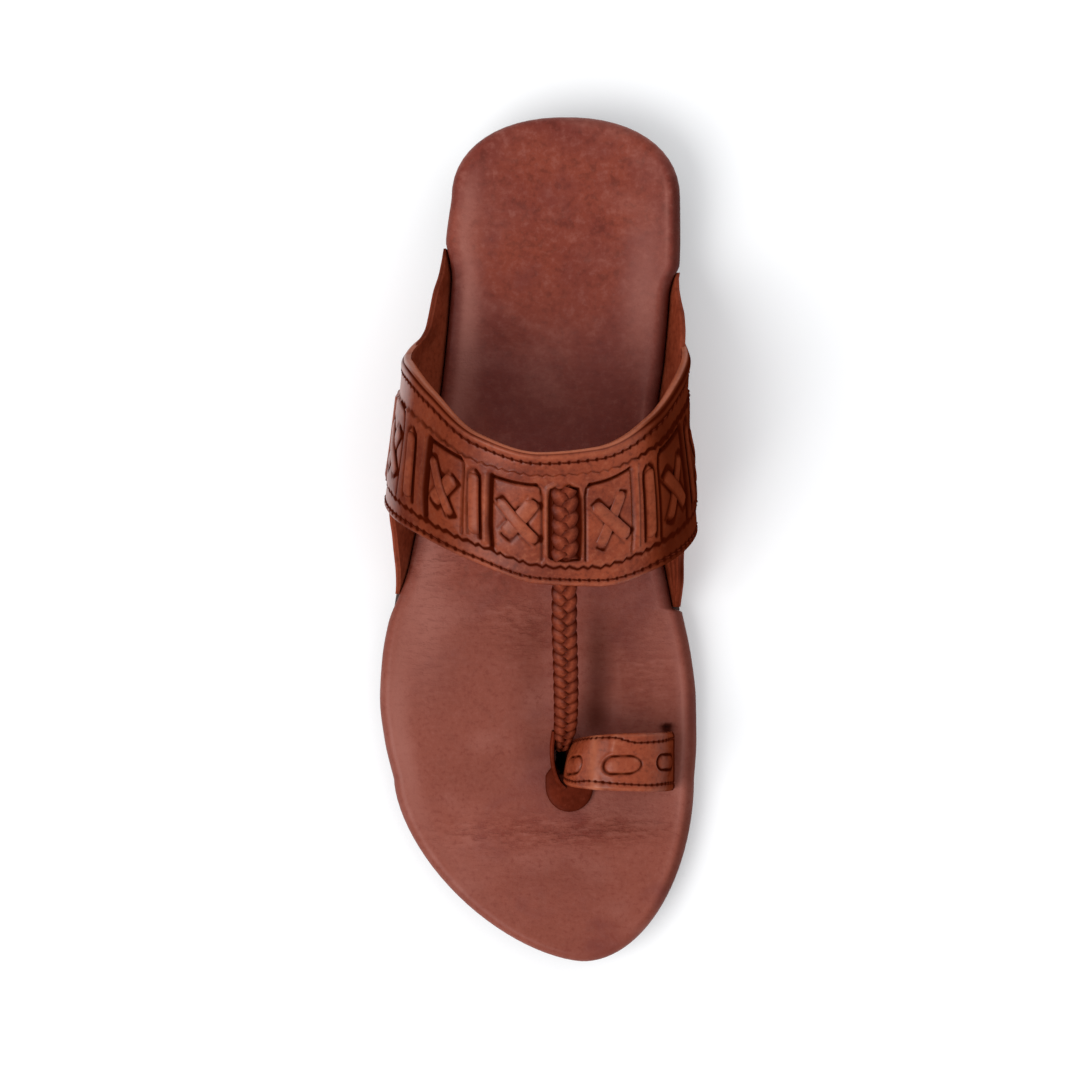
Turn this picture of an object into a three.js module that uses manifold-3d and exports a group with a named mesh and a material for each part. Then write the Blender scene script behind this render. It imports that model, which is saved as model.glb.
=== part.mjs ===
// A kolhapuri sandal for the right foot: a leather-wrapped footbed on a thin outsole with a low heel,
// two side ears that come up from under the footbed, a broad laced instep band between them, a plaited
// strap from the band down to a tab between the toes, and a ring strap for the big toe.
// Millimetres. The floor is z 0, +Z is up, +Y points to the heel, and +X is the big-toe side.

import * as THREE from "three";
import { mergeVertices } from "three/addons/utils/BufferGeometryUtils.js";
import Module from "manifold-3d";

const wasm = await Module();
wasm.setup();

// Room left between pieces that touch.
const GAP = 0.3;

// Moves the sandal so that its box is centred over the origin.
const CENTRING = { x: 0.55, y: 0.1 };

const OUTSOLE = { thickness: 4.5, inset: 0.8, lowerChamfer: 0.6, upperChamfer: 0.4 };
const FOOTBED = { thickness: 7.0, edgeRadius: 3.6, rim: 0.5, lowerChamfer: 0.8 };
const HEEL_CUP = { depth: 1.6, fromY: 40, toY: 95, middle: 0.3 };
const HEEL = { breastY: 68, breastHollow: 4, inset: 1.6, taper: 1.2, chamfer: 0.6 };
// The ring of points inside a sole's edge that keeps its faces even: distance in, and share of the width.
const INNER_RING = { inset: 8, share: 0.55 };

// The outline seen from above: x of the edge on the little-toe side and on the big-toe side, between
// the end curves.
const OUTLINE = [
  { y: -80, lateral: -48.8, medial: 51.5 },
  { y: -67, lateral: -51.9, medial: 52.3 },
  { y: -53, lateral: -53.5, medial: 52.1 },
  { y: -40, lateral: -52.8, medial: 50.7 },
  { y: -20, lateral: -49.0, medial: 46.6 },
  { y: 0, lateral: -44.8, medial: 42.9 },
  { y: 20, lateral: -40.5, medial: 41.1 },
  { y: 40, lateral: -37.0, medial: 41.6 },
  { y: 60, lateral: -34.3, medial: 44.0 },
  { y: 80, lateral: -32.5, medial: 45.6 },
  { y: 100, lateral: -31.1, medial: 46.5 },
  { y: 113, lateral: -29.3, medial: 46.4 },
];
// Each end is a super-ellipse from the last row of the outline to the tip.
const HEEL_END = { tipX: 8.6, length: 27, lateralPower: 2.2, medialPower: 2.2 };
const TOE_END = { tipX: 14.5, length: 60.2, lateralPower: 1.62, medialPower: 1.95 };
const STATIONS = [
  -80, -68, -56, -44, -34, -27, -24.4, -22.8, -19, -14, -8, 0, 12, 26, 40, 54, 68, 80, 85, 90, 94, 99,
  106, 113,
];
const END_SEGMENTS = { heel: 14, toe: 22 };

// Height of the outsole's underside: toe spring, flat tread, waist and heel seat.
const SOLE_LINE = [
  { y: -141, ground: 6.0 },
  { y: -125, ground: 3.0 },
  { y: -110, ground: 1.0 },
  { y: -96, ground: 0 },
  { y: -15, ground: 0 },
  { y: 5, ground: 1.0 },
  { y: 25, ground: 4.2 },
  { y: 45, ground: 8.2 },
  { y: 60, ground: 10.6 },
  { y: 67, ground: 11.0 },
  { y: 141, ground: 11.0 },
];

// How deep the footbed's edge is cut back where an ear comes up beside it.
const NOTCH_DEPTH = 3;
const NOTCHES = [
  { y: -27.0, lateral: 0, medial: 0 },
  { y: -25.0, lateral: 0.2, medial: 0 },
  { y: -23.0, lateral: 0.6, medial: 3 },
  { y: -19.0, lateral: 1.6, medial: 3 },
  { y: -15.0, lateral: 2.4, medial: 3 },
  { y: -8.0, lateral: 3, medial: 3 },
  { y: 80.0, lateral: 3, medial: 3 },
  { y: 86.0, lateral: 3, medial: 2.2 },
  { y: 91.0, lateral: 2.2, medial: 0 },
  { y: 98.5, lateral: 0, medial: 0 },
];

// The instep over the foot: half widths at the widest line, and the crest's height above that line.
const WIDEST_RISE = 24;
const INSTEP = [
  { y: -24, lateral: 52.0, medial: 50.4, crest: 37.5 },
  { y: -8, lateral: 51.8, medial: 51.4, crest: 41.5 },
  { y: 3, lateral: 51.3, medial: 51.3, crest: 44.3 },
  { y: 12, lateral: 50.7, medial: 50.8, crest: 46.5 },
  { y: 20, lateral: 49.6, medial: 49.9, crest: 48.5 },
  { y: 28, lateral: 48.3, medial: 48.8, crest: 50.5 },
  { y: 38, lateral: 46.9, medial: 47.7, crest: 52.6 },
  { y: 48, lateral: 45.6, medial: 48.1, crest: 54.5 },
  { y: 62, lateral: 43.8, medial: 48.7, crest: 57.0 },
  { y: 70, lateral: 40.0, medial: 49.6, crest: 58.4 },
  { y: 80, lateral: 38.4, medial: 50.0, crest: 60.0 },
  { y: 100, lateral: 36.5, medial: 50.0, crest: 63.0 },
];
const WALL_FOOT = { drop: 3, leanPower: 1.4, girth: 45 };

// The band's rear and front edges by girth angle: 0 is the widest line on the little-toe side, 90 the
// crest and 180 the widest line on the big-toe side.
const BAND = { thickness: 3.0, overlay: 0.8, firstGirth: -22, lastGirth: 202, segments: 44, depth: 44 };
const BAND_EDGES = [
  { girth: -22, rear: 67.3, front: 17.5 },
  { girth: 0, rear: 60.2, front: 12.6 },
  { girth: 20, rear: 55.2, front: 7.4 },
  { girth: 40, rear: 46.7, front: 1.9 },
  { girth: 65, rear: 33.2, front: -6.5 },
  { girth: 90, rear: 27.3, front: -13.8 },
  { girth: 112, rear: 29.0, front: -14.6 },
  { girth: 140, rear: 39.5, front: -8.3 },
  { girth: 160, rear: 51.5, front: -2.4 },
  { girth: 180, rear: 60.6, front: 3.4 },
  { girth: 202, rear: 65.5, front: 10.0 },
];
// Places across the band, as shares of its depth from the rear edge.
const ACROSS = {
  edge: 0.012,
  overlayStart: 0.215,
  overlayStep: 0.01,
  windowStart: 0.25,
  windowEnd: 0.79,
  overlayEnd: 0.835,
};
// How far the band's edges are rounded down.
const EDGE_DROP = 0.6;

// The laced pattern on the band, by distance round the arch from the middle of the plait.
const PLAIT_X = 7.9;
const PATTERN = { plaitHalf: 6.2, crossCell: 16, barCell: 12, windowDepth: 0.6, frame: 1.6 };
const CROSS = { reach: 6.0, width: 3.6, lift: 1.9, drop: 0.4, upper: 0.33, lower: 0.72 };
const BAR = { width: 4.6, lift: 2.0, upper: 0.27, lower: 0.77 };
// A laid strip: how deep its sides reach into the band, and the shares of its width and lift that are
// left on top and at its ends.
const STRIP = { sink: 0.6, top: 0.8, end: 0.6 };
const BAND_PLAIT = { turns: 5, margin: 0.06, stagger: 0.3, aside: 2, lift: 0.1 };

// The side ears: height of the top edge above the footbed.
const EAR = { flange: 8, edgeThickness: 0.8, thickness: 1.8 };
const LATERAL_EAR = [
  { y: -18, top: -2.2 },
  { y: -15, top: 0.8 },
  { y: -9, top: 6.5 },
  { y: -3, top: 11.5 },
  { y: 2, top: 15 },
  { y: 6.5, top: 19 },
  { y: 13.5, top: 23.5 },
  { y: 21, top: 27 },
  { y: 38, top: 27 },
  { y: 55, top: 27 },
  { y: 61.5, top: 20 },
  { y: 67, top: 14.6 },
  { y: 74, top: 13.2 },
  { y: 81, top: 11 },
  { y: 86, top: 6.8 },
  { y: 91, top: 2.6 },
  { y: 96.5, top: -2 },
];
const MEDIAL_EAR = [
  { y: -22.3, top: 1.6 },
  { y: -20, top: 4.2 },
  { y: -17, top: 7.0 },
  { y: -13.5, top: 9.2 },
  { y: -6, top: 10.8 },
  { y: 0, top: 13.5 },
  { y: 4, top: 20 },
  { y: 11, top: 27 },
  { y: 28, top: 27 },
  { y: 45, top: 27 },
  { y: 56, top: 27 },
  { y: 61, top: 20 },
  { y: 66, top: 17.6 },
  { y: 70, top: 15 },
  { y: 74, top: 12.2 },
  { y: 78, top: 7.4 },
  { y: 83, top: 2.6 },
  { y: 88.5, top: -2 },
];

// The plaited strap: its middle line from under the band's front border to the slit between the toes.
const STRAP = { thickness: 2.4, edge: 0.4, crown: 0.6, segments: 16 };
const STRAP_PLAIT = { pitch: 7.4, start: 0.13, reach: 0.8, aside: 0.27, sink: 0.3 };
const STRAP_LINE = [
  { x: 7.9, y: -4, z: 76.0, width: 7.4 },
  { x: 7.9, y: -14, z: 72.6, width: 7.4 },
  { x: 8.1, y: -28, z: 61.8, width: 7.4 },
  { x: 8.6, y: -42, z: 49.0, width: 7.2 },
  { x: 8.9, y: -54, z: 36.6, width: 6.8 },
  { x: 8.4, y: -62, z: 26.4, width: 6.0 },
  { x: 7.4, y: -67.5, z: 16.5, width: 4.2 },
  { x: 7.2, y: -69.4, z: 8.0, width: 3.6 },
];
const LOBE = { length: 4.1, width: 2.15, height: 1.7, turn: 0.55 };

// The tab at the foot of the strap: a tongue on the footbed whose outer margin stands up beside the
// strap.
const TAB = { x: 9.8, halfWidth: 8, rearY: -67, shoulderY: -81.3, tipY: -90.5, thickness: 1.6, cut: 3 };
const TAB_WALL = [
  { x: 4.7, y: -63.4, top: 11 },
  { x: 4.0, y: -69.0, top: 9.5 },
  { x: 4.4, y: -75.0, top: 7 },
  { x: 6.0, y: -80.0, top: 4.5 },
  { x: 8.3, y: -82.8, top: 2.4 },
];
// The ring strap round the big toe, from its outer leg between the toes to its inner leg near the edge.
const RING = { thickness: 2.4, narrowest: 13.8, height: 27, power: 2.5, footY: -74, segments: 24 };
// How deep a leg goes into the footbed, and its share of the strap's length.
const RING_SINK = { depth: 5, share: 0.12 };
const RING_LEGS = {
  outer: { x: 8.9, rearSwing: 3.6, rear: -66.6, front: -80.4 },
  inner: { x: 43.6, rearSwing: 0, rear: -63.6, front: -83.4 },
};
// The rear edge's bow between the legs.
const RING_BOW = { rise: 1.9, from: 0.15, length: 0.7 };
const RING_PAD = { width: 0.25, lift: 0.7, sink: 0.6, taper: 0.12, tipWidth: 0.55, tipLift: 0.5 };
const RING_PADS = [
  { from: 0.15, to: 0.27 },
  { from: 0.42, to: 0.62 },
  { from: 0.73, to: 0.85 },
];

const LEATHER = new THREE.MeshStandardMaterial({ color: 0x8a4532, roughness: 0.45, metalness: 0 });
const RING_LEATHER = new THREE.MeshStandardMaterial({ color: 0x8d4a34, roughness: 0.45, metalness: 0 });
const FOOTBED_LEATHER = new THREE.MeshStandardMaterial({ color: 0x8c5043, roughness: 0.5, metalness: 0 });
const SOLE_RUBBER = new THREE.MeshStandardMaterial({ color: 0x3b2018, roughness: 0.75, metalness: 0 });
const HEEL_RUBBER = new THREE.MeshStandardMaterial({ color: 0x341c15, roughness: 0.8, metalness: 0 });

// A smooth curve through one column of a table, which never swings past its rows.
function track(table, key, column) {
  const at = table.map((row) => row[key]);
  const value = table.map((row) => row[column]);
  const slope = at.slice(1).map((a, i) => (value[i + 1] - value[i]) / (a - at[i]));
  const tangent = at.map((_, i) => {
    if (i === 0) return slope[0];
    if (i === at.length - 1) return slope[i - 1];
    const product = slope[i - 1] * slope[i];
    return product <= 0 ? 0 : (2 * product) / (slope[i - 1] + slope[i]);
  });
  return (x) => {
    const i = Math.max(0, at.slice(0, -1).findLastIndex((a) => a <= x));
    const h = at[i + 1] - at[i];
    const t = THREE.MathUtils.clamp((x - at[i]) / h, 0, 1);
    const rise = value[i + 1] - value[i];
    const start = tangent[i] * h - rise;
    const end = rise - tangent[i + 1] * h;
    return value[i] + rise * t + t * (1 - t) * ((1 - t) * start + t * end);
  };
}

const lerp = THREE.MathUtils.lerp;
const radians = THREE.MathUtils.degToRad;
const lateralEdge = track(OUTLINE, "y", "lateral");
const medialEdge = track(OUTLINE, "y", "medial");
const earNotch = { lateral: track(NOTCHES, "y", "lateral"), medial: track(NOTCHES, "y", "medial") };
const ground = track(SOLE_LINE, "y", "ground");
const outsoleTop = (y) => ground(y) + OUTSOLE.thickness;
const footbedTop = (y) => outsoleTop(y) + GAP + FOOTBED.thickness;

// A closed mesh as a solid, with its faces turned out.
function solid(geometry) {
  const bare = geometry.index ? geometry.toNonIndexed() : geometry.clone();
  bare.deleteAttribute("normal");
  bare.deleteAttribute("uv");
  const merged = mergeVertices(bare, 1e-4);
  const corners = merged.index.array;
  const kept = [];
  for (let i = 0; i < corners.length; i += 3) {
    const [a, b, c] = corners.slice(i, i + 3);
    if (a !== b && b !== c && a !== c) kept.push(a, b, c);
  }
  const vertProperties = merged.attributes.position.array;
  const make = (triVerts) => new wasm.Manifold(new wasm.Mesh({ numProp: 3, vertProperties, triVerts }));
  const made = make(new Uint32Array(kept));
  return made.volume() > 0 ? made : make(new Uint32Array(kept).reverse());
}

// Joins sections, which are closed rings of as many points each, into one closed mesh. The first and
// last sections are capped, unless they are already folded shut.
function loft(sections, capped = true) {
  const count = sections[0].length;
  const index = [];
  for (let s = 0; s + 1 < sections.length; s++) {
    for (let i = 0; i < count; i++) {
      const a = s * count + i;
      const b = s * count + ((i + 1) % count);
      index.push(a, b, b + count, a, b + count, a + count);
    }
  }
  if (capped) {
    for (const s of [0, sections.length - 1]) {
      for (const face of capFaces(sections[s])) {
        const corners = face.map((i) => s * count + i);
        index.push(...(s === 0 ? corners.reverse() : corners));
      }
    }
  }
  const geometry = new THREE.BufferGeometry().setFromPoints(sections.flat());
  geometry.setIndex(index);
  return solid(geometry);
}

// Triangles that fill a flat ring of points, with the same turn as the ring.
function capFaces(ring) {
  const normal = new THREE.Vector3();
  ring.forEach((p, i) => normal.add(new THREE.Vector3().crossVectors(p, ring[(i + 1) % ring.length])));
  const turn = new THREE.Quaternion().setFromUnitVectors(normal.normalize(), new THREE.Vector3(0, 0, 1));
  const flat = ring.map((p) => p.clone().applyQuaternion(turn)).map((p) => new THREE.Vector2(p.x, p.y));
  return THREE.ShapeUtils.triangulateShape(flat, []);
}

function join(solids) {
  return solids.reduce((a, b) => a.add(b));
}

function node(name, made, material) {
  const { vertProperties, triVerts } = made.getMesh();
  const geometry = new THREE.BufferGeometry();
  geometry.setAttribute("position", new THREE.BufferAttribute(new Float32Array(vertProperties), 3));
  geometry.setIndex(new THREE.BufferAttribute(new Uint32Array(triVerts), 1));
  geometry.computeVertexNormals();
  const mesh = new THREE.Mesh(geometry, material);
  mesh.name = name;
  return mesh;
}

// The sole's plan. Each edge point has a point on the middle line of the sole that insets move towards.
function endCurve(end, joint, side, angle) {
  const power = angle < Math.PI / 2 ? end.lateralPower : end.medialPower;
  const half = angle < Math.PI / 2 ? end.tipX - lateralEdge(joint) : medialEdge(joint) - end.tipX;
  const across = Math.sign(Math.cos(angle)) * Math.abs(Math.cos(angle)) ** (2 / power) * half;
  const along = Math.abs(Math.sin(angle)) ** (2 / power) * end.length;
  return new THREE.Vector2(end.tipX - across, joint + side * along);
}

function plan(notch = { lateral: () => 0, medial: () => 0 }) {
  const middle = (y) => new THREE.Vector2((lateralEdge(y) + medialEdge(y)) / 2, y);
  const toeJoint = STATIONS[0];
  const heelJoint = STATIONS.at(-1);
  const points = [];
  for (const y of STATIONS) {
    points.push({ edge: new THREE.Vector2(lateralEdge(y) + notch.lateral(y), y), middle: middle(y) });
  }
  for (let i = 1; i < END_SEGMENTS.heel; i++) {
    const edge = endCurve(HEEL_END, heelJoint, 1, (Math.PI * i) / END_SEGMENTS.heel);
    points.push({ edge, middle: middle(heelJoint) });
  }
  for (const y of [...STATIONS].reverse()) {
    points.push({ edge: new THREE.Vector2(medialEdge(y) - notch.medial(y), y), middle: middle(y) });
  }
  for (let i = END_SEGMENTS.toe - 1; i > 0; i--) {
    const edge = endCurve(TOE_END, toeJoint, -1, (Math.PI * i) / END_SEGMENTS.toe);
    points.push({ edge, middle: middle(toeJoint) });
  }
  return points;
}

// One level of a sole: the plan moved in by a distance, or drawn in to a share of its width.
function level(points, { inset = 0, share = 1 }, height) {
  return points.map(({ edge, middle }) => {
    const inward = middle.clone().sub(edge);
    const at = edge.clone().addScaledVector(inward.clone().normalize(), inset);
    at.lerp(middle, 1 - share);
    return new THREE.Vector3(at.x, at.y, height(at.y, share));
  });
}

function outsole() {
  const points = plan();
  const { thickness, inset, lowerChamfer, upperChamfer } = OUTSOLE;
  const lift = (amount) => (y) => ground(y) + amount;
  return loft(
    [
      level(points, { share: 0 }, lift(0)),
      level(points, INNER_RING, lift(0)),
      level(points, { inset: inset + lowerChamfer }, lift(0)),
      level(points, { inset }, lift(lowerChamfer)),
      level(points, { inset }, lift(thickness - upperChamfer)),
      level(points, { inset: inset + upperChamfer }, lift(thickness)),
      level(points, INNER_RING, lift(thickness)),
      level(points, { share: 0 }, lift(thickness)),
    ],
    false,
  );
}

function footbedBlank() {
  const points = plan(earNotch);
  const { edgeRadius, rim, lowerChamfer } = FOOTBED;
  const { depth, fromY, toY, middle } = HEEL_CUP;
  const under = (amount) => (y) => outsoleTop(y) + GAP + amount;
  const cup = (y, share) => depth * THREE.MathUtils.smoothstep(y, fromY, toY) * (share * share - middle);
  const over = (amount) => (y, share) => footbedTop(y) + amount + cup(y, share);
  const round = (angle) => ({
    inset: edgeRadius * (1 - Math.sin(radians(angle))),
    drop: edgeRadius * (1 - Math.cos(radians(angle))),
  });
  const rounded = [90, 62, 36, 12].map((angle) => {
    const { inset, drop } = round(angle);
    return level(points, { inset }, over(rim - drop));
  });
  return loft(
    [
      level(points, { share: 0 }, under(0)),
      level(points, INNER_RING, under(0)),
      level(points, { inset: lowerChamfer }, under(0)),
      level(points, {}, under(lowerChamfer)),
      ...rounded,
      level(points, { inset: 9 }, over(0.1)),
      level(points, { inset: 9, share: 0.6 }, over(0)),
      level(points, { share: 0 }, over(0)),
    ],
    false,
  );
}

function heel() {
  const { breastY, breastHollow, inset, taper, chamfer } = HEEL;
  const rows = plan().filter(({ edge }) => edge.y >= breastY);
  const ring = (moved, z) => {
    const edge = level(rows, { inset: moved }, () => z);
    const first = edge[0];
    const last = edge.at(-1);
    const breast = [0.75, 0.5, 0.25].map((share) => {
      const y = breastY + breastHollow * Math.sin(Math.PI * share);
      return new THREE.Vector3(lerp(first.x, last.x, share), y, z);
    });
    return [...edge, ...breast];
  };
  const top = ground(breastY) - GAP;
  return loft([ring(inset + taper + chamfer, 0), ring(inset + taper, chamfer), ring(inset, top)]);
}

const lateralHalf = track(INSTEP, "y", "lateral");
const medialHalf = track(INSTEP, "y", "medial");
const crestRise = track(INSTEP, "y", "crest");

// A point of the instep's outer surface in its cross-section at y: x and z.
function archPoint(girth, y) {
  const side = girth < 90 ? -1 : 1;
  const half = side < 0 ? lateralHalf(y) : medialHalf(y);
  const widest = footbedTop(y) + WIDEST_RISE;
  const below = side < 0 ? -girth : girth - 180;
  if (below <= 0) {
    const angle = radians(girth);
    return new THREE.Vector2(-half * Math.cos(angle), widest + crestRise(y) * Math.sin(angle));
  }
  const foot = side < 0 ? -lateralEdge(y) : medialEdge(y);
  const t = 1 - below / WALL_FOOT.girth;
  const out = foot + (half - foot) * (1 - (1 - t) ** WALL_FOOT.leanPower);
  return new THREE.Vector2(side * out, widest - (1 - t) * (WIDEST_RISE + WALL_FOOT.drop));
}

// The same point lifted off the surface, within the cross-section.
function onInstep(girth, y, lift) {
  const at = archPoint(girth, y);
  const ahead = archPoint(girth + 0.4, y);
  const behind = archPoint(girth - 0.4, y);
  const along = ahead.sub(behind).normalize();
  return new THREE.Vector3(at.x - along.y * lift, y, at.y + along.x * lift);
}

const bandRear = track(BAND_EDGES, "girth", "rear");
const bandFront = track(BAND_EDGES, "girth", "front");
const onBand = (girth, share, lift) =>
  onInstep(girth, lerp(bandRear(girth), bandFront(girth), share), lift);

// Distance round the arch, measured along the band's middle from the plait.
const GIRTHS = Array.from({ length: 113 }, (_, i) => BAND.firstGirth + 2 * i);
const middles = GIRTHS.map((girth) => onBand(girth, 0.5, 0));
const distances = middles.map((_, i) => {
  let sum = 0;
  for (let k = 1; k <= i; k++) sum += middles[k].distanceTo(middles[k - 1]);
  return sum;
});
const rising = middles.map(({ x }, i) => ({ x, distance: distances[i] }));
const distanceAtX = track(
  rising.filter(({ x }, i) => i === 0 || x > rising[i - 1].x),
  "x",
  "distance",
);
const plaitAt = distanceAtX(PLAIT_X);
const girthAt = track(
  GIRTHS.map((girth, i) => ({ distance: distances[i] - plaitAt, girth })),
  "distance",
  "girth",
);

// The band's wall, thicker by the overlay between its two pinked lines.
function band() {
  const { thickness, overlay, firstGirth, lastGirth, segments } = BAND;
  const { edge, overlayStart, overlayStep, overlayEnd } = ACROSS;
  const profile = [
    [edge, 0],
    [overlayStart - overlayStep, 0],
    [overlayStart + overlayStep, overlay],
    [0.5, overlay],
    [overlayEnd - overlayStep, overlay],
    [overlayEnd + overlayStep, 0],
    [1 - edge, 0],
    [1, -EDGE_DROP],
    [1, -thickness],
    [2 / 3, -thickness],
    [1 / 3, -thickness],
    [0, -thickness],
    [0, -EDGE_DROP],
  ];
  const sections = [];
  for (let i = 0; i <= segments; i++) {
    const girth = lerp(firstGirth, lastGirth, i / segments);
    sections.push(profile.map(([share, lift]) => onBand(girth, share, lift)));
  }
  return loft(sections);
}

// A strip of leather laid on the band from one place to another. Places are distances round the arch
// and shares of the band's depth.
function strip(from, to, width, lift, steps) {
  const dx = to.round - from.round;
  const dy = (to.share - from.share) * BAND.depth;
  const length = Math.hypot(dx, dy);
  const sections = [];
  for (let i = 0; i <= steps; i++) {
    const t = i / steps;
    const corner = (side, height) => {
      const round = lerp(from.round, to.round, t) - (side * width * dy) / length / 2;
      const share = lerp(from.share, to.share, t) + (side * width * dx) / length / 2 / BAND.depth;
      return onBand(girthAt(round), share, height);
    };
    const { sink, top, end } = STRIP;
    const raised = i === 0 || i === steps ? lift * end : lift;
    sections.push([corner(-1, -sink), corner(-top, raised), corner(top, raised), corner(1, -sink)]);
  }
  return loft(sections);
}

// Centres of the crossed and barred cells on both sides of the plait.
function cells() {
  const { plaitHalf, crossCell, barCell } = PATTERN;
  const found = [];
  for (const side of [-1, 1]) {
    let edge = plaitHalf;
    for (let i = 0; i < 3; i++) {
      found.push({ kind: "cross", round: side * (edge + crossCell / 2) });
      if (i < 2 || side < 0) found.push({ kind: "bar", round: side * (edge + crossCell + barCell / 2) });
      edge += crossCell + barCell;
    }
  }
  return found;
}

function lacing() {
  return cells().flatMap(({ kind, round }) => {
    if (kind === "bar") {
      const { width, lift, upper, lower } = BAR;
      return [strip({ round, share: upper }, { round, share: lower }, width, lift, 3)];
    }
    const { reach, width, lift, drop, upper, lower } = CROSS;
    const lay = (side, height) => {
      const from = { round: round - side * reach, share: upper };
      return strip(from, { round: round + side * reach, share: lower }, width, height, 4);
    };
    return [lay(1, lift), lay(-1, lift - drop)];
  });
}

// The hollows that sink the crossed cells below the overlay round them.
function windows() {
  const { crossCell, windowDepth, frame } = PATTERN;
  const { windowStart, windowEnd } = ACROSS;
  const half = (crossCell - frame) / 2;
  const crossed = cells().filter(({ kind }) => kind === "cross");
  return crossed.map(({ round }) =>
    loft(
      [-half, -half / 2, 0, half / 2, half].map((aside) => {
        const corner = (share, lift) => onBand(girthAt(round + aside), share, lift);
        const middle = (windowStart + windowEnd) / 2;
        const floor = BAND.overlay - windowDepth;
        const open = BAND.overlay + 1;
        return [
          corner(windowStart, floor),
          corner(windowStart, open),
          corner(middle, open),
          corner(windowEnd, open),
          corner(windowEnd, floor),
          corner(middle, floor),
        ];
      }),
    ),
  );
}

// One raised turn of a plait: a long grain laid slantwise on a surface with the given frame.
function lobe(centre, along, across, up, side) {
  const grain = new THREE.SphereGeometry(1, 6, 4);
  grain.scale(LOBE.width, LOBE.length, LOBE.height);
  grain.rotateZ(side * LOBE.turn);
  const frame = new THREE.Matrix4().makeBasis(across, along, up).setPosition(centre);
  grain.applyMatrix4(frame);
  return solid(grain);
}

function bandPlait() {
  const { turns, margin, stagger, aside, lift } = BAND_PLAIT;
  const first = ACROSS.windowStart + margin;
  const last = ACROSS.windowEnd - margin;
  const height = BAND.overlay + lift;
  const lobes = [];
  for (let i = 0; i < turns; i++) {
    for (const side of [-1, 1]) {
      const turn = side > 0 ? i + stagger : i;
      const share = lerp(first, last, turn / (turns - 1 + stagger));
      const girth = girthAt(side * aside);
      const centre = onBand(girth, share, height);
      const up = onBand(girth, share, height + 1).sub(centre).normalize();
      const along = onBand(girth, share + 0.02, height).sub(centre).normalize();
      const across = new THREE.Vector3().crossVectors(along, up).normalize();
      lobes.push(lobe(centre, along, across, new THREE.Vector3().crossVectors(across, along), side));
    }
  }
  return lobes;
}

const strapCurve = new THREE.CatmullRomCurve3(STRAP_LINE.map(({ x, y, z }) => new THREE.Vector3(x, y, z)));
const strapWidth = track(
  STRAP_LINE.map(({ width }, i) => ({ share: i / (STRAP_LINE.length - 1), width })),
  "share",
  "width",
);

// The strap's middle, with its directions along, across and up, at a share of its length.
function strapFrame(share) {
  const centre = strapCurve.getPointAt(share);
  const along = strapCurve.getTangentAt(share);
  const across = new THREE.Vector3(0, 1, 0).cross(new THREE.Vector3(0, 0, 1));
  const up = new THREE.Vector3().crossVectors(across, along).normalize();
  if (up.z < 0) up.negate();
  return { centre, along, across, up };
}

function strapCore(grow = 0) {
  const { thickness, edge, crown, segments } = STRAP;
  const sections = [];
  for (let i = 0; i <= segments; i++) {
    const share = i / segments;
    const { centre, across, up } = strapFrame(share);
    const half = strapWidth(strapCurve.getUtoTmapping(share)) / 2 + grow;
    const thick = thickness / 2 + grow;
    const corner = (a, u) => centre.clone().addScaledVector(across, a).addScaledVector(up, u);
    sections.push([
      corner(-half, -thick * edge),
      corner(-half, thick * edge),
      corner(-half * crown, thick),
      corner(half * crown, thick),
      corner(half, thick * edge),
      corner(half, -thick * edge),
      corner(half * crown, -thick),
      corner(-half * crown, -thick),
    ]);
  }
  return loft(sections);
}

function strapPlait() {
  const { pitch, start, reach, aside, sink } = STRAP_PLAIT;
  const length = strapCurve.getLength();
  const turns = Math.floor((length * reach) / pitch);
  const lobes = [];
  for (let i = 0; i < turns; i++) {
    for (const side of [-1, 1]) {
      const turn = side > 0 ? i + 0.5 : i;
      const share = start + (turn * pitch) / length;
      const { centre, along, across, up } = strapFrame(share);
      const out = strapWidth(strapCurve.getUtoTmapping(share)) * aside;
      centre.addScaledVector(across, side * out).addScaledVector(up, STRAP.thickness / 2 - sink);
      lobes.push(lobe(centre, along, across, up, side));
    }
  }
  return lobes;
}

// The tab's tongue lies on the footbed, and its wall stands on the tongue.
function tab() {
  const { x, halfWidth, rearY, shoulderY, tipY, thickness, cut } = TAB;
  const outline = new THREE.Shape();
  outline.moveTo(x - halfWidth + cut, rearY);
  outline.lineTo(x - halfWidth, shoulderY + cut);
  outline.lineTo(x - halfWidth, shoulderY);
  outline.quadraticCurveTo(x - halfWidth * 0.8, tipY, x, tipY);
  outline.quadraticCurveTo(x + halfWidth * 0.8, tipY, x + halfWidth, shoulderY);
  outline.lineTo(x + halfWidth, rearY);
  const extrusion = { depth: thickness, bevelEnabled: false, curveSegments: 6 };
  const tongue = new THREE.ExtrudeGeometry(outline, extrusion);
  tongue.translate(0, 0, footbedTop(tipY + halfWidth) + GAP);
  const half = thickness / 2;
  const spots = TAB_WALL.map((row) => new THREE.Vector2(row.x, row.y));
  const sections = TAB_WALL.map(({ x: wx, y, top }, i) => {
    const ahead = spots[Math.min(i + 1, spots.length - 1)];
    const behind = spots[Math.max(i - 1, 0)];
    const along = ahead.clone().sub(behind).normalize();
    const low = footbedTop(y) + GAP;
    const corner = (aside, z) => new THREE.Vector3(wx - along.y * aside, y + along.x * aside, z);
    return [corner(-half, low), corner(-half, low + top), corner(half, low + top), corner(half, low)];
  });
  return solid(tongue).add(loft(sections));
}

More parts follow.
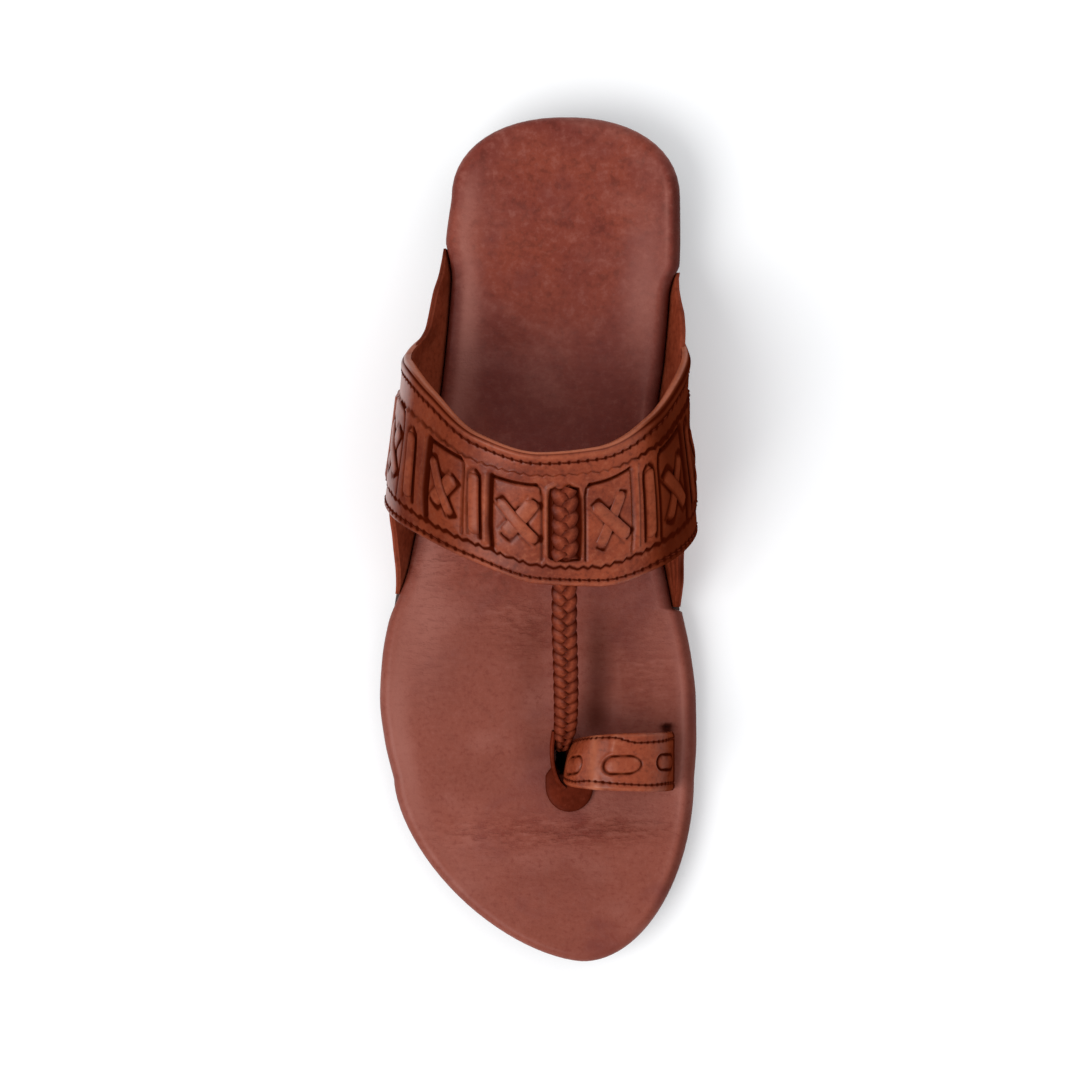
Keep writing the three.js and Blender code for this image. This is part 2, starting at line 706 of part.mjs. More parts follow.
// How an ear follows the sole at y: its inner face's place from the sole's edge, its thickness, the
// height of its flange, and the rule for points at a distance out from the edge.
function earFoot(side, y) {
  const cut = earNotch[side < 0 ? "lateral" : "medial"](y);
  const edge = side < 0 ? -lateralEdge(y) : medialEdge(y);
  return {
    inner: GAP - cut,
    thick: lerp(EAR.edgeThickness, EAR.thickness, cut / NOTCH_DEPTH),
    flangeZ: outsoleTop(y) + GAP,
    out: (amount, z) => new THREE.Vector3(side * (edge + amount), y, z),
  };
}

// One side's ear: a flange under the footbed, a turn up the footbed's side, and the wall that rises to
// the band.
function ear(rows, side) {
  const widestGirth = side < 0 ? 0 : 180;
  const footGirth = widestGirth + side * WALL_FOOT.girth;
  return rows.map(({ y, top }) => {
    const { inner, thick, flangeZ, out } = earFoot(side, y);
    const rise = (top + WALL_FOOT.drop) / (WIDEST_RISE + WALL_FOOT.drop);
    const girths = [0, 1 / 3, 2 / 3, 1].map((share) => lerp(footGirth, widestGirth, rise * share));
    const wall = (lift) => girths.map((girth) => onInstep(girth, y, lift));
    return [
      out(inner - EAR.flange, flangeZ),
      out(inner + thick, flangeZ),
      ...wall(inner + thick),
      ...wall(inner).reverse(),
      out(inner, flangeZ + thick),
      out(inner - EAR.flange, flangeZ + thick),
    ];
  });
}

// The room that an ear's flange takes out of the footbed's underside.
function earPocket(rows, side) {
  const past = { below: 1, beyond: 5 };
  const stops = [rows[0].y - GAP, ...rows.map(({ y }) => y), rows.at(-1).y + GAP];
  return loft(
    stops.map((y) => {
      const { inner, thick, flangeZ, out } = earFoot(side, y);
      const low = flangeZ - GAP - past.below;
      const high = flangeZ + thick + GAP;
      return [
        out(inner - EAR.flange - GAP, low),
        out(inner + past.beyond, low),
        out(inner + past.beyond, high),
        out(inner - EAR.flange - GAP, high),
      ];
    }),
  );
}

// A point of the ring strap: how far along from the outer leg, across from its rear edge, and off its
// middle.
function onRing(along, across, lift) {
  const { height, power } = RING;
  const { depth, share: legShare } = RING_SINK;
  const { outer, inner } = RING_LEGS;
  const legX = (leg) => leg.x + leg.rearSwing * (1 - across) ** 2;
  const outerX = legX(outer);
  const innerX = legX(inner);
  const bow = THREE.MathUtils.clamp((along - RING_BOW.from) / RING_BOW.length, 0, 1);
  const rear = lerp(outer.rear, inner.rear, along) + RING_BOW.rise * Math.sin(Math.PI * bow);
  const y = lerp(rear, lerp(outer.front, inner.front, along), across);
  const base = footbedTop(RING.footY);
  const spot = (share) => {
    const left = Math.min(share, 1 - share);
    if (left < legShare) {
      return new THREE.Vector2(share < 0.5 ? outerX : innerX, base - depth * (1 - left / legShare));
    }
    const angle = (Math.PI * (share - legShare)) / (1 - 2 * legShare);
    const cosine = Math.cos(angle);
    const out = Math.sign(cosine) * Math.abs(cosine) ** (2 / power);
    const up = Math.abs(Math.sin(angle)) ** (2 / power);
    const middle = (outerX + innerX) / 2;
    return new THREE.Vector2(middle - (out * (innerX - outerX)) / 2, base + up * height);
  };
  const at = spot(along);
  const direction = spot(along + 0.01).sub(spot(along - 0.01)).normalize();
  return new THREE.Vector3(at.x - direction.y * lift, y, at.y + direction.x * lift);
}

function ringStrap(grow = 0) {
  const half = RING.thickness / 2 + grow;
  const edge = grow / RING.narrowest;
  const sections = [];
  for (let i = 0; i <= RING.segments; i++) {
    const past = i === 0 ? -edge : i === RING.segments ? edge : 0;
    const along = i / RING.segments + past;
    sections.push([
      onRing(along, -edge, -half),
      onRing(along, -edge, half),
      onRing(along, 0.5, half),
      onRing(along, 1 + edge, half),
      onRing(along, 1 + edge, -half),
      onRing(along, 0.5, -half),
    ]);
  }
  return loft(sections);
}

// The lacing that shows on the ring strap as three raised pads.
function ringPads() {
  const { width, lift, sink, taper, tipWidth, tipLift } = RING_PAD;
  return RING_PADS.map(({ from, to }) => {
    const sections = [0, taper, 0.5, 1 - taper, 1].map((share) => {
      const along = lerp(from, to, share);
      const tip = share === 0 || share === 1;
      const half = (width * (tip ? tipWidth : 1)) / 2;
      const low = RING.thickness / 2 - sink;
      const high = RING.thickness / 2 + lift * (tip ? tipLift : 1);
      return [
        onRing(along, 0.5 - half, low),
        onRing(along, 0.5 - half, high),
        onRing(along, 0.5 + half, high),
        onRing(along, 0.5 + half, low),
      ];
    });
    return loft(sections);
  });
}

function upper() {
  const ears = [loft(ear(LATERAL_EAR, -1)), loft(ear(MEDIAL_EAR, 1))];
  const pattern = [...lacing(), ...bandPlait()];
  const strap = [strapCore(), ...strapPlait(), tab()];
  const panelled = band().subtract(join(windows()));
  return join([panelled, ...ears, ...pattern, ...strap]).subtract(ringStrap(GAP));
}

function footbed() {
  const pockets = [earPocket(LATERAL_EAR, -1), earPocket(MEDIAL_EAR, 1)];
  return footbedBlank().subtract(join([...pockets, ringStrap(GAP), strapCore(GAP)]));
}

const sandal = new THREE.Group();
sandal.position.set(CENTRING.x, CENTRING.y, 0);
sandal.add(node("outsole", outsole(), SOLE_RUBBER));
sandal.add(node("heel_lift", heel(), HEEL_RUBBER));
sandal.add(node("footbed", footbed(), FOOTBED_LEATHER));
sandal.add(node("upper", upper(), LEATHER));
sandal.add(node("toe_ring", join([ringStrap(), ...ringPads()]), RING_LEATHER));

export default sandal;
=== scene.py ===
"""A kolhapuri sandal for the right foot, dressed in waxed tan leather.

Shapes are worked out in millimetres, with the floor at z 0, +Y towards the heel and +X towards the big toe, and are
turned into metres when a piece is laid down.
"""

import logging
import math
from bisect import bisect_right
from collections.abc import Callable, Iterable, Sequence
from dataclasses import dataclass
from enum import Enum
from typing import Any

import bmesh
import bpy
from bmesh.types import BMesh, BMVert
from mathutils import Matrix, Vector


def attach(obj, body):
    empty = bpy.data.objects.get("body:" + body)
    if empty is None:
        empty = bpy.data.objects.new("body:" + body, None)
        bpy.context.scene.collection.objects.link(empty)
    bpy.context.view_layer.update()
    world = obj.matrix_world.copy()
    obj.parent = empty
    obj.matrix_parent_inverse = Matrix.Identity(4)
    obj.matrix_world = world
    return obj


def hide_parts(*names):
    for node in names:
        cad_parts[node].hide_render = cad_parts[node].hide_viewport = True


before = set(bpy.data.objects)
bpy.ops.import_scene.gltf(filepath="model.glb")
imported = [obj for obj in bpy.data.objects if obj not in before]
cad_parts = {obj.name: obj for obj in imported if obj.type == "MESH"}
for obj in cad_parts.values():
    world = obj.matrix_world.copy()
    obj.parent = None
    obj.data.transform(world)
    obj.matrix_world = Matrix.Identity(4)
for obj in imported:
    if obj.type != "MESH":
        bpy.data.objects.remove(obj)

LOG = logging.getLogger("sandal")
MILLIMETRE = 0.001
# What the drawing is moved by, in millimetres, so that the sandal stands in the middle of its frame.
CENTRING = Vector((0.55, 0.1, 0.0))
# Points of a mesh that lie closer than this, in millimetres, are one.
WELD = 1e-4
PAINTED = ("dark", "worn_and_highlit", "lined")
TAU = math.tau
Colour = tuple[float, float, float]
Stretch = tuple[float, float, float]
Place = tuple[float, float]
Table = Sequence[tuple[float, ...]]


# Small tools


def lerp(start: float, end: float, share: float) -> float:
    """Returns the number that lies a share of the way from start to end."""
    return start + (end - start) * share


def ramp(low: float, high: float, at: float) -> float:
    """Returns a smooth step from 0 at low to 1 at high."""
    share = max(0.0, min(1.0, (at - low) / (high - low)))
    return share * share * (3 - 2 * share)


def bell(at: float, width: float) -> float:
    """Returns a soft bump that is 1 at 0 and dies away over the width."""
    return math.exp(-((at / width) ** 2)) if abs(at) < 3 * width else 0.0


def powered(number: float, power: float) -> float:
    """Returns a number raised to a power, with its sign kept."""
    return math.copysign(abs(number) ** power, number)


def needle_hole(reach: float, pitch: float, width: float) -> float:
    """Returns how near a place along a seam lies to one of its needle holes, from 0 to 1."""
    return bell(((reach / pitch) % 1.0 - 0.5) * pitch, width)


def distances(points: Sequence[Vector]) -> list[float]:
    """Returns how far each point lies along the path through all of them."""
    reach = [0.0]
    for before, after in zip(points, points[1:]):
        reach.append(reach[-1] + (after - before).length)
    return reach


def rounded_box(x: float, y: float, half_x: float, half_y: float, radius: float) -> float:
    """Measures how far a point lies outside a box with round corners.

    Args:
        x: place across, from the box's middle.
        y: place along, from the box's middle.
        half_x: half the box's width.
        half_y: half the box's length.
        radius: radius of its corners.

    Returns:
        The distance, negative inside.
    """
    dx = abs(x) - half_x + radius
    dy = abs(y) - half_y + radius
    return math.hypot(max(dx, 0.0), max(dy, 0.0)) + min(max(dx, dy), 0.0) - radius


def beside_line(x: float, y: float, start: Vector, end: Vector) -> tuple[float, float]:
    """Finds where a point lies by a straight line.

    Args:
        x: place across.
        y: place along.
        start: where the line starts.
        end: where it ends.

    Returns:
        The distance to the line between its ends, and the share of the line that is nearest.
    """
    line = end - start
    share = max(0.0, min(1.0, (Vector((x, y)) - start).dot(line) / line.length_squared))
    return (Vector((x, y)) - start - line * share).length, share


class Track:
    """A smooth curve through the rows of a table, which never swings past them."""

    def __init__(self, rows: Iterable[tuple[float, float]]) -> None:
        """Works out the curve's slope at each row.

        Args:
            rows: pairs of a place and the value there.
        """
        self.at, self.value = (list(column) for column in zip(*rows))
        slope = [
            (self.value[i + 1] - self.value[i]) / (self.at[i + 1] - self.at[i]) for i in range(len(self.at) - 1)
        ]
        inner = [
            0.0 if slope[i - 1] * slope[i] <= 0 else 2 * slope[i - 1] * slope[i] / (slope[i - 1] + slope[i])
            for i in range(1, len(slope))
        ]
        self.tangent = [slope[0], *inner, slope[-1]]

    def __call__(self, at: float) -> float:
        """Returns the curve's value at a place, and its end value past an end."""
        i = max(0, min(len(self.at) - 2, bisect_right(self.at, at) - 1))
        step = self.at[i + 1] - self.at[i]
        t = max(0.0, min(1.0, (at - self.at[i]) / step))
        rise = self.value[i + 1] - self.value[i]
        start = self.tangent[i] * step - rise
        end = rise - self.tangent[i + 1] * step
        return self.value[i] + rise * t + t * (1 - t) * ((1 - t) * start + t * end)


def tracks(table: Table) -> list[Track]:
    """Returns a curve for each column of a table after the first, which holds the places."""
    return [Track((row[0], row[k]) for row in table) for k in range(1, len(table[0]))]


class Line:
    """A smooth line through points in space, measured by its length, with so many samples between two points."""

    fineness = 24

    def __init__(self, points: Sequence[Vector]) -> None:
        """Samples the line.

        Args:
            points: what the line passes through.
        """
        padded = [2 * points[0] - points[1], *points, 2 * points[-1] - points[-2]]
        self.samples: list[Vector] = []
        for a, b, c, d in zip(padded, padded[1:], padded[2:], padded[3:]):
            for k in range(self.fineness):
                t = k / self.fineness
                bend = (2 * a - 5 * b + 4 * c - d) * t * t + (3 * b - a - 3 * c + d) * t**3
                self.samples.append((2 * b + (c - a) * t + bend) / 2)
        self.samples.append(points[-1].copy())
        self.reach = distances(self.samples)
        self.length = self.reach[-1]

    def point(self, reach: float) -> Vector:
        """Returns the point at a distance along the line."""
        reach = max(0.0, min(self.length, reach))
        i = max(0, min(len(self.samples) - 2, bisect_right(self.reach, reach) - 1))
        step = self.reach[i + 1] - self.reach[i]
        return self.samples[i].lerp(self.samples[i + 1], (reach - self.reach[i]) / step)

    def along(self, reach: float) -> Vector:
        """Returns the line's direction at a distance along it."""
        return (self.point(reach + 0.5) - self.point(reach - 0.5)).normalized()

    def reach_near(self, point: Vector) -> float:
        """Returns how far along the line its sample nearest to a point lies."""
        return self.reach[min(range(len(self.samples)), key=lambda i: (self.samples[i] - point).length)]


@dataclass
class Spot:
    """A point of a surface and its look: how dark its painted shade and gathered dye make it, and how pale its painted
    highlights and rubbing make it.

    Lined leather has lost its wax, and is finely wrinkled too on the footbed. Where that is negative the wax is thick.
    """

    at: Vector
    dark: float = 0.0
    worn_and_highlit: float = 0.0
    lined: float = 0.0

    def moved(self, at: Vector) -> "Spot":
        """Returns a spot with the same look at another place."""
        return Spot(at, self.dark, self.worn_and_highlit, self.lined)


def loft(bm: BMesh, sections: Sequence[Sequence[Spot]], capped: bool = True) -> list[BMVert]:
    """Adds a closed form whose sections are rings of as many points each.

    Args:
        bm: mesh that takes the form.
        sections: the rings, in order.
        capped: whether the first and last rings are closed with a face.

    Returns:
        The form's vertices.
    """
    for name in PAINTED:
        if name not in bm.verts.layers.float:
            bm.verts.layers.float.new(name)
    dark, worn_and_highlit, lined = (bm.verts.layers.float[name] for name in PAINTED)
    across, around = len(sections) - 1, len(sections[0])
    made = bmesh.ops.create_grid(bm, x_segments=across, y_segments=around, size=0.5)["verts"]
    for vert in made:
        spot = sections[round((vert.co.x + 0.5) * across)][round((vert.co.y + 0.5) * around) % around]
        vert.co = spot.at
        vert[dark] = spot.dark
        vert[worn_and_highlit] = spot.worn_and_highlit
        vert[lined] = spot.lined
    bmesh.ops.remove_doubles(bm, verts=made, dist=WELD)
    made = [vert for vert in made if vert.is_valid]
    if capped:
        rims = {edge for vert in made for edge in vert.link_edges if edge.is_boundary}
        bmesh.ops.holes_fill(bm, edges=list(rims), sides=0)
    faces = {face for vert in made for face in vert.link_faces}
    bmesh.ops.recalc_face_normals(bm, faces=list(faces))
    return made


def ring_of(width: float, thickness: float, count: int, squareness: float) -> list[Place]:
    """Draws the section of a flat thong.

    Args:
        width: its width.
        thickness: its thickness.
        count: how many points it has.
        squareness: the power that shapes its corners, 1 for an ellipse and less for a squarer form.

    Returns:
        Its points, across and up.
    """
    turns = [TAU * (k + 0.5) / count for k in range(count)]
    return [
        (powered(math.cos(turn), squareness) * width / 2, powered(math.sin(turn), squareness) * thickness / 2)
        for turn in turns
    ]


# Finishes


def srgb(red: int, green: int, blue: int) -> Colour:
    """Returns a colour given on the scale of 0 to 255 as light amounts."""
    parts = [part / 255 for part in (red, green, blue)]
    return tuple(part / 12.92 if part <= 0.04045 else ((part + 0.055) / 1.055) ** 2.4 for part in parts)


class Value:
    """A number that the shader works out, which takes part in Python sums."""

    def __init__(self, shop: "DyeShop", socket: bpy.types.NodeSocket) -> None:
        """Keeps the output socket and the shop whose nodes it belongs to."""
        self.shop = shop
        self.socket = socket

    def _sum(self, operation: str, first: Any, second: Any) -> "Value":
        """Returns the Math node's result for two numbers or values."""
        made = self.shop.node("ShaderNodeMath", {"operation": operation}, {0: first, 1: second})
        return Value(self.shop, made.outputs[0])

    def __add__(self, other: Any) -> "Value":
        """Returns the sum."""
        return self._sum("ADD", self, other)

    def __radd__(self, other: Any) -> "Value":
        """Returns the sum."""
        return self._sum("ADD", other, self)

    def __sub__(self, other: Any) -> "Value":
        """Returns the difference."""
        return self._sum("SUBTRACT", self, other)

    def __rsub__(self, other: Any) -> "Value":
        """Returns the difference from a number."""
        return self._sum("SUBTRACT", other, self)

    def __mul__(self, other: Any) -> "Value":
        """Returns the product."""
        return self._sum("MULTIPLY", self, other)

    def __rmul__(self, other: Any) -> "Value":
        """Returns the product."""
        return self._sum("MULTIPLY", other, self)

    def ramp(self, low: float, high: float) -> "Value":
        """Returns a smooth step from 0 at low to 1 at high."""
        made = self.shop.node(
            "ShaderNodeMapRange",
            {"interpolation_type": "SMOOTHSTEP"},
            {"Value": self, "From Min": low, "From Max": high},
        )
        return Value(self.shop, made.outputs["Result"])


class DyeShop:
    """Builds one material's nodes."""

    def __init__(self, name: str) -> None:
        """Starts an empty material.

        Args:
            name: the material's name.
        """
        self.material = bpy.data.materials.new(name)
        self.material.use_nodes = True
        self.tree = self.material.node_tree
        self.tree.nodes.clear()
        self.place = self.node("ShaderNodeTexCoord", {}, {}).outputs["Object"]

    def node(self, kind: str, settings: dict[str, Any], inputs: dict[Any, Any]) -> bpy.types.Node:
        """Adds a node.

        Args:
            kind: the node's type.
            settings: its own settings, which are set first.
            inputs: values or links for its sockets, by name or number.

        Returns:
            The node.
        """
        made = self.tree.nodes.new(kind)
        for name, setting in settings.items():
            setattr(made, name, setting)
        for key, given in inputs.items():
            socket = made.inputs[key]
            given = given.socket if isinstance(given, Value) else given
            if isinstance(given, bpy.types.NodeSocket):
                self.tree.links.new(given, socket)
            elif socket.type == "RGBA":
                socket.default_value = (*given, 1.0)
            else:
                socket.default_value = given
        return made

    def noise(self, size: float, detail: float = 3, rough: float = 0.5, stretch: Stretch = (1, 1, 1)) -> Value:
        """Returns soft noise whose blotches are about size millimetres across, stretched by an amount each way."""
        place = self.node("ShaderNodeMapping", {}, {"Vector": self.place, "Scale": stretch}).outputs[0]
        made = self.node(
            "ShaderNodeTexNoise",
            {},
            {"Vector": place, "Scale": 1 / (size * MILLIMETRE), "Detail": detail, "Roughness": rough},
        )
        return Value(self, made.outputs["Fac"])

    def pebbles(self, size: float) -> Value:
        """Returns the distance pattern of cells about size millimetres across."""
        made = self.node("ShaderNodeTexVoronoi", {}, {"Vector": self.place, "Scale": 1 / (size * MILLIMETRE)})
        return Value(self, made.outputs["Distance"])

    def painted(self, name: str) -> Value:
        """Returns what was painted on the piece's points under a name."""
        return Value(self, self.node("ShaderNodeAttribute", {"attribute_name": name}, {}).outputs["Fac"])

    def axis(self, name: str) -> Value:
        """Returns the place along X, Y or Z, in metres."""
        return Value(self, self.node("ShaderNodeSeparateXYZ", {}, {0: self.place}).outputs[name])

    def mix(self, share: Any, first: Any, second: Any) -> bpy.types.NodeSocket:
        """Returns the second colour laid over the first by a share."""
        made = self.node("ShaderNodeMix", {"data_type": "RGBA"}, {"Factor": share, 6: first, 7: second})
        return made.outputs[2]

    def bump(self, height: Value, depth: float, strength: float = 1.0, under: Any = None) -> bpy.types.NodeSocket:
        """Returns a surface roughened by a height of 0 to 1, which stands for a depth in millimetres."""
        inputs = {"Height": height, "Distance": depth * MILLIMETRE, "Strength": strength}
        if under is not None:
            inputs["Normal"] = under
        return self.node("ShaderNodeBump", {}, inputs).outputs[0]

    def finish(self, **sockets: Any) -> bpy.types.Material:
        """Ends the material in one surface, whose sockets are named with _ for a space, and returns it."""
        inputs = {name.replace("_", " "): given for name, given in sockets.items()}
        surface = self.node("ShaderNodeBsdfPrincipled", {}, inputs)
        self.node("ShaderNodeOutputMaterial", {}, {"Surface": surface.outputs[0]})
        return self.material


# The near-black colour of painted shade in a pit or slit of the leather, and the roughness of its wax.
PIT_SHADE = (0.001, 0.0006, 0.0004)
WAX_ROUGHNESS = 0.32


@dataclass(frozen=True)
class Leather:
    """Waxed leather: a tone that drifts in soft blotches, darker where shade is painted and dye gathers, paler where
    highlights are painted and it is rubbed.

    Where it is painted as lined, the wax has gone and it is matt, and where that is negative the wax is thick.
    """

    name: str
    tone: Colour
    deep: Colour
    pale_and_highlight: Colour
    dark_dye_and_shade: Colour
    blotch: float = 16.0
    grain: float = 0.9
    grain_depth: float = 0.05
    gloss: float = 0.5
    sheen: float = 0.0
    coat: float = 0.1

    def surface(self, shop: DyeShop) -> tuple[Any, Value, Any]:
        """Works out what varies over the leather.

        Args:
            shop: where the nodes go.

        Returns:
            Its colour, its roughness and its normal.
        """
        drift = shop.noise(self.blotch, 4, 0.55)
        speckle = shop.noise(self.blotch / 9, 3, 0.6)
        # Blotches of deeper dye, then fine pale and dark specks.
        colour = shop.mix(drift.ramp(0.38, 0.66), self.tone, self.deep)
        colour = shop.mix(speckle.ramp(0.5, 0.75) * 0.3, colour, self.pale_and_highlight)
        colour = shop.mix((1 - speckle.ramp(0.3, 0.5)) * 0.35, colour, self.dark_dye_and_shade)
        # Painted highlights and rubbing turn it pale, then painted shade and gathered dye turn it dark.
        worn_and_highlit = shop.painted("worn_and_highlit")
        colour = shop.mix((worn_and_highlit * (0.75 + 0.5 * speckle)).ramp(0.0, 1.0), colour, self.pale_and_highlight)
        dark = shop.painted("dark")
        colour = shop.mix((dark * (0.8 + 0.4 * speckle)).ramp(0.0, 0.9), colour, self.dark_dye_and_shade)
        # The grain, and a slow unevenness under it.
        pebble = shop.pebbles(self.grain)
        fine = shop.noise(self.grain * 0.5, 2, 0.6)
        normal = shop.bump(pebble * 0.7 + fine * 0.5, self.grain_depth)
        normal = shop.bump(shop.noise(self.blotch / 3, 2), 0.25, 0.5, normal)
        roughness = self.gloss + (drift - 0.5) * 0.2 + (speckle - 0.5) * 0.12 + dark * 0.25
        return colour, roughness, normal

    def laid_on(self, shop: DyeShop, colour: Any, roughness: Value, normal: Any) -> bpy.types.Material:
        """Returns the finished material, with pits and slits painted black as shade, which lose their wax."""
        pit_shade = shop.painted("dark").ramp(0.95, 1.9)
        colour = shop.mix(pit_shade, colour, PIT_SHADE)
        coat = self.coat * (1 - shop.painted("dark").ramp(0.2, 0.8)) * (1 - shop.painted("lined"))
        return shop.finish(
            Base_Color=colour,
            Roughness=roughness,
            Normal=normal,
            Coat_Weight=coat,
            Coat_Roughness=WAX_ROUGHNESS,
            Specular_IOR_Level=self.sheen,
        )

    def material(self) -> bpy.types.Material:
        """Returns the leather as a material."""
        shop = DyeShop(self.name)
        return self.laid_on(shop, *self.surface(shop))


@dataclass(frozen=True)
class FootbedLeather(Leather):
    """Leather on the footbed: warm at the heel, greyer and paler under the ball, with fine wrinkles across."""

    ball_tone: Colour = srgb(133, 70, 56)
    waist_tone_and_shade: Colour = srgb(110, 54, 48)
    stained: Colour = srgb(104, 46, 42)

    def material(self) -> bpy.types.Material:
        """Returns the leather as a material."""
        shop = DyeShop(self.name)
        colour, roughness, normal = self.surface(shop)
        along = shop.axis("Y")
        colour = shop.mix((1 - along.ramp(-0.03, 0.0)) * 0.8, colour, self.ball_tone)
        # The waist's cooler, darker tone, partly painted shade under the band, in metres along the sole.
        waist = along.ramp(-0.01, 0.03) * (1 - along.ramp(0.05, 0.1))
        colour = shop.mix(waist * 0.5, colour, self.waist_tone_and_shade)
        stain = shop.noise(24, 5, 0.62).ramp(0.5, 0.72)
        colour = shop.mix(stain * 0.55, colour, self.stained)
        bloom = shop.noise(16, 3, 0.5, (0.7, 1, 1)).ramp(0.48, 0.75)
        colour = shop.mix(bloom * 0.26, colour, self.pale_and_highlight)
        grain = shop.noise(1.5, 3, 0.6)
        colour = shop.mix(grain.ramp(0.5, 0.75) * 0.14, colour, self.pale_and_highlight)
        colour = shop.mix((1 - grain.ramp(0.3, 0.48)) * 0.4, colour, self.deep)
        lined = shop.painted("lined")
        wrinkle = shop.noise(2.2, 4, 0.6, (0.45, 1.4, 1))
        # The wrinkles' valleys are painted with shade and their tops with a highlight.
        valley = (1 - wrinkle.ramp(0.34, 0.5)) * lined
        colour = shop.mix(valley * 0.55, colour, self.deep)
        colour = shop.mix(wrinkle.ramp(0.52, 0.7) * lined * 0.3, colour, self.pale_and_highlight)
        # Painted sheen and highlights, then painted shade, shadows and stains.
        worn_and_highlit = shop.painted("worn_and_highlit")
        colour = shop.mix(worn_and_highlit * 0.8, colour, self.pale_and_highlight)
        colour = shop.mix(shop.painted("dark"), colour, self.dark_dye_and_shade)
        crackle = shop.noise(2.2, 4, 0.65, (0.8, 1.3, 1)).ramp(0.35, 0.6) * shop.noise(34, 2).ramp(0.48, 0.6)
        normal = shop.bump(crackle, 0.12, 0.6, normal)
        normal = shop.bump(wrinkle.ramp(0.34, 0.55) * lined, 0.3, 0.8, normal)
        return self.laid_on(shop, colour, roughness, normal)


@dataclass(frozen=True)
class SoleRubber:
    """Dull moulded rubber, with a fine ribbed tread where it faces the floor."""

    name: str
    tone: Colour
    dusty: Colour

    def material(self) -> bpy.types.Material:
        """Returns the rubber as a material."""
        shop = DyeShop(self.name)
        drift = shop.noise(9, 4, 0.6)
        colour = shop.mix(drift.ramp(0.45, 0.8) * 0.5, self.tone, self.dusty)
        wave = shop.node(
            "ShaderNodeTexWave",
            {"bands_direction": "Y"},
            {"Vector": shop.place, "Scale": 62.0, "Distortion": 0.0},
        )
        facing = shop.node("ShaderNodeNewGeometry", {}, {}).outputs["Normal"]
        down = Value(shop, shop.node("ShaderNodeSeparateXYZ", {}, {0: facing}).outputs["Z"])
        tread = Value(shop, wave.outputs["Fac"]).ramp(0.3, 0.7) * (1 - down.ramp(-0.9, -0.6))
        normal = shop.bump(tread, 0.5, 0.9)
        normal = shop.bump(shop.noise(0.7, 2), 0.05, 0.8, normal)
        return shop.finish(Base_Color=colour, Roughness=0.72 + (drift - 0.5) * 0.2, Normal=normal)


@dataclass(frozen=True)
class Plain:
    """An even finish, with a little glow of its own where it has one, and flecks where it has those."""

    name: str
    tone: Colour
    roughness: float
    glow: float = 0.0
    flecks: float = 0.0

    def material(self) -> bpy.types.Material:
        """Returns the finish as a material."""
        shop = DyeShop(self.name)
        fleck = shop.noise(0.8, 3, 0.6).ramp(0.4, 0.7)
        colour = shop.mix(fleck * self.flecks, self.tone, DARK_DYE_AND_SHADE)
        return shop.finish(
            Base_Color=colour,
            Roughness=self.roughness,
            Specular_IOR_Level=0.0,
            Emission_Color=self.tone,
            Emission_Strength=self.glow,
        )


class Slot(Enum):
    """Which of the record's materials a piece is made of."""

    UPPER = "upper_leather"
    FOOTBED = "footbed_leather"
    SOLE = "sole"
    HEEL = "heel"


# A near-black brown for painted shade in grooves, slits and edges, and for dark dye and flecks.
DARK_DYE_AND_SHADE = srgb(58, 13, 3)
BAND_LEATHER = Leather("band_leather", srgb(137, 60, 34), srgb(108, 42, 23), srgb(166, 94, 66), DARK_DYE_AND_SHADE, coat=0.4)
THONG_LEATHER = Leather(
    "thong_leather", srgb(100, 37, 20), srgb(78, 25, 12), srgb(148, 70, 46), DARK_DYE_AND_SHADE, blotch=7.0, coat=0.12
)
EAR_LEATHER = Leather("ear_leather", srgb(134, 58, 36), srgb(112, 44, 25), srgb(158, 84, 60), DARK_DYE_AND_SHADE, coat=0.12)
TAB_LEATHER = Leather("tab_leather", srgb(98, 33, 16), srgb(84, 26, 11), srgb(126, 56, 38), DARK_DYE_AND_SHADE, coat=0.05)
FOOTBED_LEATHER = FootbedLeather(
    "footbed_leather", srgb(128, 55, 38), srgb(110, 44, 34), srgb(160, 100, 88), DARK_DYE_AND_SHADE, blotch=30.0, grain=0.8,
    sheen=0.07, coat=0.16,
)
THREAD = Plain("waxed_thread", srgb(84, 30, 17), 0.6, flecks=0.6)
OUTSOLE_RUBBER = SoleRubber("outsole_rubber", srgb(60, 32, 24), srgb(84, 56, 46))
HEEL_RUBBER = SoleRubber("heel_rubber", srgb(50, 27, 21), srgb(76, 50, 42))
FLOOR_PAPER = Plain("floor_paper", (0.86, 0.86, 0.86), 0.9, glow=0.17)


Finish = Leather | SoleRubber | Plain


class Bench:
    """Where pieces are laid down: it turns meshes into objects and keeps one material for each finish."""

    def __init__(self) -> None:
        """Starts with no materials."""
        self.materials: dict[str, bpy.types.Material] = {}

    def material(self, finish: Finish) -> bpy.types.Material:
        """Returns a finish's material, which is made once."""
        if finish.name not in self.materials:
            self.materials[finish.name] = finish.material()
        return self.materials[finish.name]

    def lay(
        self, name: str, bm: BMesh, finish: Finish, slot: Slot, stands_for: Sequence[str] = (), crease: float = 40.0
    ) -> None:
        """Turns a mesh in millimetres into a piece of the sandal.

        Args:
            name: the piece's name.
            bm: its mesh, which is used up.
            finish: its finish.
            slot: which of the record's materials it is made of; not used.
            stands_for: solids that it replaces.
            crease: edges sharper than this many degrees stay sharp.
        """
        place = Matrix.Scale(MILLIMETRE, 4) @ Matrix.Translation(CENTRING)
        bmesh.ops.transform(bm, matrix=place, verts=bm.verts)
        for face in bm.faces:
            face.smooth = True
        mesh = bpy.data.meshes.new(name)
        bm.to_mesh(mesh)
        bm.free()
        mesh.set_sharp_from_angle(angle=math.radians(crease))
        piece = bpy.data.objects.new(name, mesh)
        bpy.context.scene.collection.objects.link(piece)
        mesh.materials.append(self.material(finish))
        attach(piece, "root")
        if stands_for:
            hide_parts(*stands_for)
        LOG.info("%s: %d faces", name, len(mesh.polygons))


# The sandal's sizes and shapes


